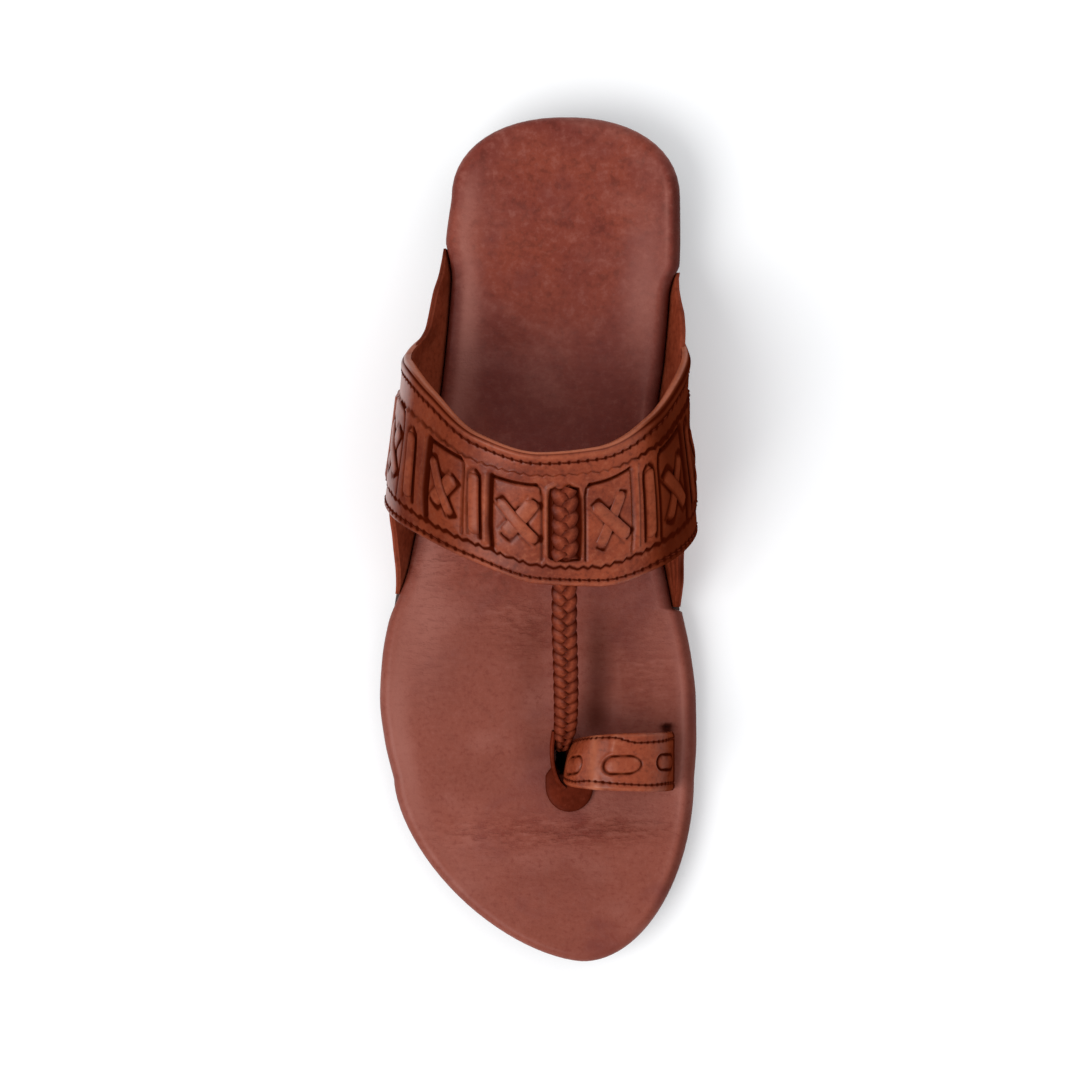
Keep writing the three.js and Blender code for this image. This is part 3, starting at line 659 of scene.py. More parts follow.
@dataclass
class SolePlan:
    """The outline seen from above and the heights of the sole.

    The outline holds y and how far out each side is, the sole line y and its height, and the notches y and how deep
    each side is cut back. An end holds the x of its tip, its length and the power that rounds each side of it.
    Extra rows keep the front corner of the notch on the big toe's side crisp. The walks set how many points go round
    each end.
    """

    outline: Table = (
        (-80, -48.8, 51.5), (-67, -51.9, 52.3), (-53, -53.5, 52.1), (-40, -52.8, 50.7), (-20, -49.0, 46.6),
        (0, -44.8, 42.9), (20, -40.5, 41.1), (40, -37.0, 41.6), (60, -34.3, 44.0), (80, -32.5, 45.6),
        (100, -31.1, 46.5), (113, -29.3, 46.4),
    )
    sole_line: Table = (
        (-141, 6.0), (-125, 3.0), (-110, 1.0), (-96, 0.0), (-15, 0.0), (5, 1.0), (25, 4.2), (45, 8.2), (60, 10.6),
        (67, 11.0), (141, 11.0),
    )
    notches: Table = (
        (-27.0, 0.0, 0.0), (-24.1, 0.4, 0.0), (-22.6, 0.7, 3.0), (-19.0, 1.6, 3.0), (-15.0, 2.4, 3.0),
        (-8.0, 3.0, 3.0), (80.0, 3.0, 3.0), (86.0, 3.0, 2.2), (91.0, 2.2, 0.0), (98.5, 0.0, 0.0),
    )
    heel_end: tuple[float, ...] = (8.6, 27.0, 2.2, 2.2)
    toe_end: tuple[float, ...] = (14.5, 60.2, 1.62, 1.95)
    corner_rows: tuple[float, ...] = (-24.1, -23.7, -23.3, -22.9, -22.5)
    heel_walk: float = 40.0
    toe_walk: float = 80.0
    outsole_thickness: float = 4.5
    footbed_thickness: float = 7.0
    gap: float = 0.3

    def __post_init__(self) -> None:
        """Makes the curves through the tables."""
        self.lateral, self.medial = tracks(self.outline)
        (self.ground,) = tracks(self.sole_line)
        self.lateral_notch, self.medial_notch = tracks(self.notches)

    def outsole_top(self, y: float) -> float:
        """Returns the height of the outsole's upper face."""
        return self.ground(y) + self.outsole_thickness

    def footbed_top(self, y: float) -> float:
        """Returns the height of the footbed's upper face along its middle."""
        return self.outsole_top(y) + self.gap + self.footbed_thickness

    def edge(self, y: float, side: int) -> float:
        """Returns how far the outline stands out on the little-toe side, -1, or the big-toe side, 1."""
        return -self.lateral(y) if side < 0 else self.medial(y)

    def _end(self, end: tuple[float, ...], joint: float, side: int, turn: float) -> Vector:
        """Returns a point of the super-ellipse that rounds off one end."""
        tip, length, lateral_power, medial_power = end
        power = lateral_power if turn < math.pi / 2 else medial_power
        half = tip - self.lateral(joint) if turn < math.pi / 2 else self.medial(joint) - tip
        across = powered(math.cos(turn), 2 / power) * half
        return Vector((tip - across, joint + side * abs(math.sin(turn)) ** (2 / power) * length))

    def rim(self, step: float, notched: bool = False) -> list[tuple[Vector, Vector]]:
        """Walks round the outline.

        Args:
            step: distance between points on the long sides.
            notched: whether the edge is cut back beside the ears.

        Returns:
            Points of the edge, each with the point of the middle line that insets move towards.
        """
        toe, heel = self.outline[0][0], self.outline[-1][0]
        count = round((heel - toe) / step)
        rows = sorted({toe + (heel - toe) * k / count for k in range(count + 1)}.union(self.corner_rows))

        def middle(y: float) -> Vector:
            """Returns the point of the middle line at y."""
            return Vector(((self.lateral(y) + self.medial(y)) / 2, y))

        points = [(Vector((self.lateral(y) + notched * self.lateral_notch(y), y)), middle(y)) for y in rows]
        turns = round(self.heel_walk / step)
        points += [(self._end(self.heel_end, heel, 1, math.pi * k / turns), middle(heel)) for k in range(1, turns)]
        points += [(Vector((self.medial(y) - notched * self.medial_notch(y), y)), middle(y)) for y in reversed(rows)]
        turns = round(self.toe_walk / step)
        points += [
            (self._end(self.toe_end, toe, -1, math.pi * (1 - k / turns)), middle(toe)) for k in range(1, turns)
        ]
        return points


@dataclass
class Instep:
    """The form of the foot's instep, which the band and the ears follow.

    The halves hold y, how far out the widest line is on each side, and the crest's height above it. The edges hold a
    girth angle, 0 at the widest line on the little toe's side and 180 on the other, and y of the band's two edges.
    """

    plan: SolePlan
    widest_rise: float = 24.0
    halves: Table = (
        (-24, 52.0, 50.4, 37.5), (-8, 51.8, 51.4, 41.5), (3, 51.3, 51.3, 44.3), (12, 50.7, 50.8, 46.5),
        (20, 49.6, 49.9, 48.5), (28, 48.3, 48.8, 50.5), (38, 46.9, 47.7, 52.6), (48, 45.6, 48.1, 54.5),
        (62, 43.8, 48.7, 57.0), (70, 40.0, 49.6, 58.4), (80, 38.4, 50.0, 60.0), (100, 36.5, 50.0, 63.0),
    )
    foot_drop: float = 3.0
    lean_power: float = 1.4
    foot_girth: float = 45.0
    edges: Table = (
        (-22, 67.3, 17.5), (0, 60.2, 12.6), (20, 55.2, 7.4), (40, 46.7, 1.9), (65, 33.2, -6.5), (90, 27.3, -13.8),
        (112, 29.0, -14.6), (140, 39.5, -8.3), (160, 51.5, -2.4), (180, 60.6, 3.4), (202, 65.5, 10.0),
    )
    plait_x: float = 7.9
    depth: float = 46.0

    def __post_init__(self) -> None:
        """Makes the curves, and measures distances round the arch from the plait."""
        self.lateral_half, self.medial_half, self.crest = tracks(self.halves)
        self.rear, self.front = tracks(self.edges)
        first, last = self.edges[0][0], self.edges[-1][0]
        girths = [first + 2 * k for k in range(round((last - first) / 2) + 1)]
        middles = [self.on_band(girth, 0.5, 0.0) for girth in girths]
        reach = distances(middles)
        rising = [(middles[0].x, reach[0])]
        for point, distance in zip(middles, reach):
            if point.x > rising[-1][0]:
                rising.append((point.x, distance))
        zero = Track(rising)(self.plait_x)
        self.first_round, self.last_round = -zero, reach[-1] - zero
        self.girth_at = Track(zip((distance - zero for distance in reach), girths))

    def arch(self, girth: float, y: float) -> tuple[float, float]:
        """Returns x and z of the instep's surface at a girth angle, in its cross-section at y."""
        side = -1 if girth < 90 else 1
        half = self.lateral_half(y) if side < 0 else self.medial_half(y)
        widest = self.plan.footbed_top(y) + self.widest_rise
        below = -girth if side < 0 else girth - 180
        if below <= 0:
            turn = math.radians(girth)
            return -half * math.cos(turn), widest + self.crest(y) * math.sin(turn)
        foot = self.plan.edge(y, side)
        t = 1 - below / self.foot_girth
        out = foot + (half - foot) * (1 - max(0.0, 1 - t) ** self.lean_power)
        return side * out, widest - (1 - t) * (self.widest_rise + self.foot_drop)

    def surface(self, girth: float, y: float, lift: float) -> Vector:
        """Returns the surface's point moved off it within the cross-section."""
        x, z = self.arch(girth, y)
        if 0 < girth < 180:
            half = self.lateral_half(y) if girth < 90 else self.medial_half(y)
            turn = math.radians(girth)
            along = Vector((half * math.sin(turn), self.crest(y) * math.cos(turn)))
        else:
            ahead, behind = self.arch(girth + 0.4, y), self.arch(girth - 0.4, y)
            along = Vector((ahead[0] - behind[0], ahead[1] - behind[1]))
        along.normalize()
        return Vector((x - along.y * lift, y, z + along.x * lift))

    def on_band(self, girth: float, share: float, lift: float) -> Vector:
        """Returns a point of the band by its girth angle and its share of the depth from the rear edge."""
        return self.surface(girth, lerp(self.rear(girth), self.front(girth), share), lift)

    def by_distance(self, along: float, back: float, lift: float) -> Vector:
        """Returns a point of the band by its distances from the plait and from the rear edge."""
        return self.on_band(self.girth_at(along), back / self.depth, lift)


@dataclass
class Sole:
    """The outsole, the heel lift and the footbed.

    A level holds its inset from the edge, the share of the width that is kept where that differs, and its height. A
    crease holds its two ends, its width and its depth. A patch holds its middle, its reach across and along, how dark
    it makes the leather with painted shadow and stains, how pale with painted highlights, and how lined.
    """

    plan: SolePlan
    bench: Bench
    edge_radius: float = 3.6
    ear_radius: float = 1.8
    rim_rise: float = 0.35
    heel_cup: float = 1.6
    breast: float = 68.0
    breast_bow: float = 4.0
    breast_steps: int = 12
    heel_levels: Table = ((4.6, 0.0), (3.4, 0.0), (2.95, 0.25), (2.8, 0.7), (2.2, 5.3), (2.5, 5.6), (2.15, 5.9))
    heel_top_inset: float = 1.6
    underside: Table = ((0, 0.0, 0), (8, 0.5, 0), (1.0, 1.0, 0), (0.3, 1.0, 0.2), (0, 1.0, 0.8), (0, 1.0, 2.2))
    flat_inset: float = 8.0
    flat_steps: int = 36
    creases: Sequence[tuple[tuple[float, float], tuple[float, float], float, float]] = (
        ((-38, -95), (-6, -98), 1.3, 0.35), ((-8, -97.5), (20, -96), 1.2, 0.4), ((18, -96.5), (42, -93), 1.3, 0.3),
        ((-20, -101), (10, -100.5), 1.0, 0.2), ((-36, -6), (-14, -14), 1.2, 0.25), ((-34, -10), (-16, -18), 1.0, 0.2),
        ((-12, -22), (-4, -27), 1.1, 0.2), ((-20, -32), (-4, -36), 1.0, 0.15), ((14, -24), (36, -20), 1.1, 0.2),
        ((16, -34), (38, -30), 1.0, 0.16), ((-22, 104), (14, 108), 1.6, 0.12),
    )
    # Patches of painted shadow beside the braid and behind the ring, stains, painted sheen where the leather catches
    # the light, and wrinkles.
    patches: Table = (
        (19, -42, 4.5, 18, 0.62, 0.0, 0.2), (18, -59, 5.0, 7, 0.45, 0.0, 0.0), (30, -61, 12, 5, 0.22, 0.0, 0.3),
        (-3, -48, 6, 14, 0.18, 0.0, 0.2), (-2, -68, 5, 10, 0.2, 0.0, 0.0), (28, -93, 16, 6, 0.15, 0.0, 0.3),
        (4, 56, 24, 20, 0.05, 0.0, 0.15), (-27, 66, 6, 26, 0.0, 0.55, 0.1), (-12, 68, 10, 8, 0.12, 0.0, 0.3),
        (-20, 108, 10, 15, 0.0, 0.16, 0.4), (-38, -22, 9, 20, 0.0, 0.5, 0.5), (-30, -6, 12, 6, 0.0, 0.2, 0.9),
        (-10, -24, 12, 6, 0.0, 0.15, 0.9), (-6, -34, 12, 8, 0.05, 0.0, 0.4), (38, 103, 6, 18, 0.0, 0.15, 0.1),
        (-34, -46, 10, 14, 0.08, 0.0, 0.2), (-20, -78, 16, 8, 0.1, 0.0, 0.2), (6, -112, 18, 5, 0.08, 0.0, 0.2),
        (-2, -30, 7, 8, 0.15, 0.0, 0.3), (24, -30, 10, 6, 0.1, 0.0, 0.3), (34, 78, 7, 22, 0.0, 0.45, 0.1),
        (-24, 70, 4, 22, 0.0, 0.35, 0.1), (40, -34, 8, 16, 0.0, 0.25, 0.3), (34, -46, 12, 12, 0.0, 0.0, 0.7),
        (26, -52, 0.7, 12, 0.0, 0.3, 0.0), (24.2, -58, 0.6, 7, 0.0, 0.25, 0.0), (38.5, 43, 0.8, 6, 0.0, 0.4, 0.0),
        (0, -97, 38, 6, 0.0, 0.0, 1.0), (22, -97, 22, 3, 0.1, 0.0, 0.4), (-22, -105, 10, 10, 0.0, 0.2, 0.2),
        (8, -122, 36, 16, 0.03, 0.0, 0.1), (4, 42, 22, 10, 0.0, 0.13, 0.0), (-40, -40, 8, 16, 0.0, 0.25, 0.2),
        (42.3, -62.6, 1.9, 1.3, 1.9, 0.0, 0.0),
    )

    def _radius(self, y: float, side: int) -> float:
        """Returns the radius of the footbed's edge, which is tighter beside the ears."""
        notch = self.plan.medial_notch(y) if side > 0 else self.plan.lateral_notch(y)
        return lerp(self.edge_radius, self.ear_radius, min(1.0, notch / 2))

    def _ring(
        self, points: Sequence[tuple[Vector, Vector]], inset: float, share: float, rule: Callable[..., Spot]
    ) -> list[Spot]:
        """Returns one level of the sole.

        Args:
            points: the outline with its middle points.
            inset: how far it is moved in, where the edge is as round as it is at the toe.
            share: the share of its width that is kept.
            rule: makes the spot at x and y, given the share, the distance in from the edge and the side.

        Returns:
            The ring of spots.
        """
        ring = []
        for edge, middle in points:
            inward = middle - edge
            side = 1 if inward.x < 0 else -1
            moved = inset * self._radius(edge.y, side) / self.edge_radius if inset < self.edge_radius else inset
            at = (edge + inward.normalized() * moved).lerp(middle, 1 - share)
            ring.append(rule(at.x, at.y, share, (at - edge).length, side))
        return ring

    def outsole(self) -> None:
        """Makes the outsole."""
        points = self.plan.rim(2.0)
        thickness = self.plan.outsole_thickness
        bm = bmesh.new()

        def lift(amount: float) -> Callable[..., Spot]:
            """Returns the rule for a level that far above the sole line."""
            return lambda x, y, *_: Spot(Vector((x, y, self.plan.ground(y) + amount)))

        tread = ((0.8, 0.0, 0.0), (9.0, 0.5, 0.0), (2.2, 1.0, 0.0), (1.3, 1.0, 0.12), (0.95, 1.0, 0.5), (0.8, 1.0, 0.9))
        line_round = ((0.8, 1.0, 2.0), (1.15, 1.0, 2.2), (0.8, 1.0, 2.4))
        rounded = ((0.8, 1.0, thickness - 0.7), (0.95, 1.0, thickness - 0.2), (1.4, 1.0, thickness))
        levels = (*tread, *line_round, *rounded, (9.0, 0.5, thickness), (0.8, 0.0, thickness))
        loft(bm, [self._ring(points, inset, share, lift(amount)) for inset, share, amount in levels], False)
        self.bench.lay("outsole_slab", bm, OUTSOLE_RUBBER, Slot.SOLE, ["outsole"])

    def heel(self) -> None:
        """Makes the heel lift."""
        rows = [pair for pair in self.plan.rim(2.0) if pair[0].y >= self.breast]
        top = self.plan.ground(self.breast) - self.plan.gap
        bm = bmesh.new()
        sections = []
        for inset, z in (*self.heel_levels, (self.heel_top_inset, top)):
            edge = self._ring(rows, inset, 1.0, lambda x, y, *_, z=z: Spot(Vector((x, y, z))))
            first, last = edge[0].at, edge[-1].at
            lift = max(0.0, 0.5 - z) * 0.8 + (0.6 if inset > 4 else 0.0)
            breast = []
            for k in range(self.breast_steps - 1, 0, -1):
                share = k / self.breast_steps
                y = self.breast + self.breast_bow * math.sin(math.pi * share) + lift
                breast.append(Spot(Vector((lerp(first.x, last.x, share), y, z))))
            sections.append([*edge, *breast])
        loft(bm, sections)
        self.bench.lay("heel_block", bm, HEEL_RUBBER, Slot.HEEL, ["heel_lift"])

    def _worn_top(self, x: float, y: float) -> float:
        """Returns how far creases and the foot's pressure lower the footbed's leather at a place."""
        drop = 0.0
        for start, end, width, depth in self.creases:
            distance, share = beside_line(x, y + 0.5 * math.sin(x * 0.35), Vector(start), Vector(end))
            drop += depth * bell(distance, width) * math.sin(math.pi * min(max(share, 0.04), 0.96))
        ball = bell(math.hypot((x - 4) / 1.25, y + 50), 30) * 0.5
        heel = bell(math.hypot(x - 8, (y - 100) / 1.1), 24) * 0.4
        return drop + ball + heel

    def _dress(self, x: float, y: float) -> Spot:
        """Returns the footbed's painted shade and stains, its painted sheen and its wrinkles at a place."""
        made = Spot(Vector((x, y, 0)))
        for middle_x, middle_y, reach_x, reach_y, dark, worn_and_highlit, lined in self.patches:
            felt = bell(math.hypot((x - middle_x) / reach_x, (y - middle_y) / reach_y), 1.0)
            made.dark += dark * felt
            made.worn_and_highlit += worn_and_highlit * felt
            made.lined += lined * felt
        made.lined = min(1.0, made.lined)
        return made

    def footbed(self) -> None:
        """Makes the leather-wrapped footbed."""
        points = self.plan.rim(1.5, notched=True)
        plan = self.plan
        bm = bmesh.new()

        def under(amount: float) -> Callable[..., Spot]:
            """Returns the rule for a level that far above the footbed's underside."""
            return lambda x, y, *_: Spot(Vector((x, y, plan.outsole_top(y) + plan.gap + amount)), 0.3)

        def over(amount: float, flat: float, drop: float = 0.0) -> Callable[..., Spot]:
            """Returns the rule for a level of its upper face: its rise, how flat it is and its drop in radii."""

            def spot(x: float, y: float, share: float, inward: float, side: int) -> Spot:
                """Returns the spot of the upper face at a place."""
                cup = self.heel_cup * ramp(40, 95, y) * (share * share - 0.3)
                low = drop * self._radius(y, side)
                z = plan.footbed_top(y) + amount - low + cup - flat * self._worn_top(x, y)
                made = self._dress(x, y)
                # A painted highlight along the rolled edge, broad on the little toe's side and fainter towards the
                # heel, and painted shade where the edge turns down.
                ends = ramp(-132, -112, y) * ramp(130, 112, y)
                calm = 1 - 0.6 * ramp(20, 60, y)
                if side < 0:
                    rim = bell(inward - 5.4, 3.4) * 0.7 * calm
                    outside = 0.16 * (1 - ramp(1.0, 2.6, inward))
                else:
                    rim = bell(inward - 4.6, 0.9) * 0.75 * calm
                    outside = 0.48 * (1 - ramp(1.8, 3.8, inward))
                rim *= (0.6 + 0.4 * math.sin(y * 0.07)) * ends
                made.at = Vector((x, y, z))
                made.worn_and_highlit = min(1.0, made.worn_and_highlit * ramp(2, 6, inward) + rim)
                made.dark += outside * (0.2 + 0.8 * ends)
                return made

            return spot

        sections = [
            self._ring(points, inset, share, under(amount))
            for inset, share, amount in self.underside
        ]
        for turn in range(90, -1, -10):
            inset = self.edge_radius * (1 - math.sin(math.radians(turn)))
            drop = 1 - math.cos(math.radians(turn))
            sections.append(self._ring(points, inset, 1.0, over(self.rim_rise, 0, drop)))
        for inset in (4.6, 5.6, 6.8, self.flat_inset):
            flat = ramp(self.edge_radius, self.flat_inset, inset)
            sections.append(self._ring(points, inset, 1.0, over(self.rim_rise * (1 - flat), flat)))
        for k in range(1, self.flat_steps + 1):
            sections.append(self._ring(points, self.flat_inset, 1 - k / self.flat_steps, over(0, 1)))
        loft(bm, sections, False)
        self.bench.lay("footbed_cover", bm, FOOTBED_LEATHER, Slot.FOOTBED, ["footbed"])

    def build(self) -> None:
        """Makes the whole sole."""
        self.outsole()
        self.heel()
        self.footbed()


@dataclass
class Ears:
    """The two side ears that come up from under the footbed to hold the band.

    Their tables hold y and the height of the upper edge above the footbed.
    """

    instep: Instep
    bench: Bench
    flange: float = 8.0
    clearance: float = 0.12
    thin: float = 0.5
    thick: float = 1.8
    lateral: Table = (
        (-18, -2.2), (-15, 0.8), (-9, 6.5), (-3, 11.5), (2, 15), (6.5, 19), (13.5, 23.5), (21, 27), (55, 27),
        (61.5, 20), (67, 14.6), (74, 13.2), (81, 11), (86, 6.8), (91, 2.6), (96.5, -2),
    )
    medial: Table = (
        (-22.3, 1.6), (-20, 4.2), (-17, 7.0), (-13.5, 9.2), (-6, 10.8), (0, 13.5), (4, 20), (11, 27), (56, 27),
        (61, 20), (66, 17.6), (70, 15), (74, 12.2), (78, 7.4), (83, 2.6), (88.5, -2),
    )

    def _section(self, y: float, side: int, top: float) -> list[Spot]:
        """Returns an ear's cross-section.

        Args:
            y: where it is.
            side: -1 for the little-toe side, 1 for the big-toe side.
            top: height of its upper edge above the footbed.

        Returns:
            Its ring of spots, from the flange up the outside and down the inside.
        """
        plan = self.instep.plan
        notch = plan.lateral_notch(y) if side < 0 else plan.medial_notch(y)
        inner = self.clearance - notch
        thick = lerp(self.thin, self.thick, notch / 3)
        widest = 0 if side < 0 else 180
        foot = widest + side * self.instep.foot_girth
        drop = self.instep.foot_drop
        rise = (top + drop) / (self.instep.widest_rise + drop)
        shares = [k / 16 for k in range(17)]

        def wall(lift: float, reach: float = 1.0) -> list[Vector]:
            """Returns points up the wall, lifted off the instep."""
            girths = [lerp(foot, widest, rise * share * reach) for share in shares]
            return [self.instep.surface(girth, y, lift) for girth in girths]

        def out(amount: float, z: float) -> Vector:
            """Returns a point beside the sole's edge."""
            return Vector((side * (plan.edge(y, side) + amount), y, z))

        low = plan.outsole_top(y) + plan.gap
        outer, lining = wall(inner + thick), wall(inner)
        lip = (outer[-1] + lining[-1]) / 2 + (outer[-1] - outer[-2]).normalized() * thick * 0.35
        points = [
            out(inner - self.flange, low),
            out(inner + thick * 0.6, low),
            out(inner + thick, low + 0.6),
            *outer,
            lip,
            *reversed(lining),
            out(inner, low + thick),
            out(inner - self.flange, low + thick),
        ]
        edge = 3 + len(outer)
        front = ramp(2, -10, y)
        # Painted shade in front on the big toe's side, easing off at its tip, and behind on the other side; painted
        # light in front on the little toe's side.
        deep = 0.36 * front - 0.2 * ramp(-11, -17, y) if side > 0 else 0.22 * ramp(20, 40, y)
        streak = 0.16 * front * (side > 0)
        worn_and_highlit = 0.3 * front * (side < 0)
        dark = [deep + 0.3 * bell(k - edge, 1.0) + streak * math.sin(k * 1.3) for k in range(len(points))]
        return [Spot(point, max(0.0, shade), worn_and_highlit) for point, shade in zip(points, dark)]

    def build(self) -> None:
        """Makes both ears."""
        for name, rows, side in (("lateral_ear", self.lateral, -1), ("medial_ear", self.medial, 1)):
            (top,) = tracks(rows)
            first, last = rows[0][0], rows[-1][0]
            count = round(last - first)
            bm = bmesh.new()
            stops = [lerp(first, last, k / count) for k in range(count + 1)]
            loft(bm, [self._section(y, side, top(y)) for y in stops])
            self.bench.lay(name, bm, EAR_LEATHER, Slot.UPPER)


class Lacing(Enum):
    """How a strip lies in a crossed cell."""

    OVER = 1
    UNDER = -1


@dataclass(frozen=True)
class Mark:
    """A line worked into the band, by distances from the plait and from the rear edge.

    It is pressed in by its depth, or raised where that is negative, and darkened with painted shade and dye, and paled
    with painted highlights.
    """

    points: Sequence[Place]
    width: float
    depth: float
    dark: float
    worn_and_highlit: float = 0.0

    def near(self, along: float) -> bool:
        """Returns whether the line comes near a distance from the plait."""
        places = [point[0] for point in self.points]
        return min(places) - 3 * self.width < along < max(places) + 3 * self.width

    def strength(self, along: float, back: float) -> float:
        """Returns how strongly the line is felt at a place, from 0 to 1."""
        nearest = min(
            beside_line(along, back, Vector(start), Vector(end))[0]
            for start, end in zip(self.points, self.points[1:])
        )
        return bell(nearest, self.width)


@dataclass(frozen=True)
class Strip:
    """A strip of leather laced through the overlay, with a slit at each end."""

    start: Place
    end: Place
    width: float
    lacing: Lacing
    shaded: float = 0.85

    def marks(self) -> list[Mark]:
        """Returns the painted shade along both sides of the strip, heavier on one side, and round its ends."""
        start, end = Vector(self.start), Vector(self.end)
        line = (end - start).normalized()
        aside = Vector((line.y, -line.x)) * (self.width / 2 + 0.15)
        aside = aside if aside.x > 0 else -aside
        marks = [
            Mark((tuple(start + aside), tuple(end + aside)), 0.7, 0.3, self.shaded),
            Mark((tuple(start - aside), tuple(end - aside)), 0.5, 0.2, self.shaded * 0.4),
        ]
        for tip, reach in ((start, -line * 0.2), (end, line * 0.2)):
            marks.append(Mark((tuple(tip + reach - aside * 0.3), tuple(tip + reach + aside * 0.6)), 0.65, 0.5, 0.85))
        return marks


@dataclass(frozen=True)
class Cross:
    """A crossed cell: its side near the plait, its far side, its slanting top slit, and how dark the painted shade at
    its sides is.
    """

    inner: float
    outer: float
    inner_top: float
    outer_top: float
    inner_dark: float
    outer_dark: float
    strips: Sequence[Strip]

    @property
    def side(self) -> int:
        """Returns 1 for a cell on the big toe's side of the plait, and -1 for one on the other."""
        return 1 if self.outer > 0 else -1

    def inset(self, along: float, back: float, front_line: float) -> float:
        """Returns how far inside the cell a place lies, negative outside."""
        share = (along - self.inner) / (self.outer - self.inner)
        top = lerp(self.inner_top, self.outer_top, share)
        return min((along - self.inner) * self.side, (self.outer - along) * self.side, back - top, front_line - back)

    def marks(self) -> list[Mark]:
        """Returns the slits and lines round the cell in painted shade, with a painted highlight on the ridge outside
        its far side.
        """
        side = self.side
        ridge = self.outer + side * 1.9
        corner = (self.inner + side * 1.8, self.inner_top)
        below = ((self.inner + side * 0.5, self.inner_top + 1.2), (self.inner, self.inner_top + 4), (self.inner, 37.4))
        return [
            Mark((corner, (self.outer - side * 0.6, self.outer_top)), 0.55, 1.0, 1.0),
            Mark((corner, *below), 0.45, 0.6, self.inner_dark),
            Mark(
                ((self.outer, self.outer_top), (self.outer, 30.0), (self.outer - side * 0.8, 38.6)),
                0.45 + 0.4 * self.outer_dark,
                0.35 + 0.8 * self.outer_dark,
                self.outer_dark,
            ),
            Mark(((ridge, self.outer_top + 1), (ridge, 37.5)), 0.95, -0.5, 0.0, 0.35),
            *self._wedges(),
        ]

    def _wedges(self) -> list[Mark]:
        """Returns the wedges of painted shade behind and in front of the crossing."""
        first, second = self.strips
        middle = (Vector(first.start) + Vector(first.end) + Vector(second.start) + Vector(second.end)) / 4
        behind = ((middle.x, middle.y - 1.6), (middle.x + 0.3, middle.y - 4.6))
        before = ((middle.x, middle.y + 1.6), (middle.x, middle.y + 3.6))
        return [Mark(behind, 0.8, 0.35, 0.75), Mark(before, 0.6, 0.25, 0.4)]


@dataclass(frozen=True)
class Bar:
    """An upright strip between two crossed cells, and how dark the painted shade lines on its two sides are."""

    strip: Strip
    left_dark: float
    right_dark: float

    def marks(self) -> list[Mark]:
        """Returns the lines of painted shade round the bar."""
        top, bottom = self.strip.start, self.strip.end
        half = self.strip.width / 2 + 0.3
        sides = []
        for side, dark in ((-1, self.left_dark), (1, self.right_dark)):
            line = ((top[0] + side * half * 0.3, top[1] - 1.0), (top[0] + side * half * 0.85, top[1] + 0.2))
            line += ((top[0] + side * half, top[1] + 3), (bottom[0] + side * half, bottom[1]))
            sides.append(Mark(line, 0.4 + 0.25 * dark, 0.3 + 0.6 * dark, dark))
        return sides


def over(start: Place, end: Place, width: float = 4.3) -> Strip:
    """Returns a strip that crosses on top."""
    return Strip(start, end, width, Lacing.OVER)


def under(start: Place, end: Place, width: float = 4.4) -> Strip:
    """Returns a strip that crosses below."""
    return Strip(start, end, width, Lacing.UNDER, 0.6)


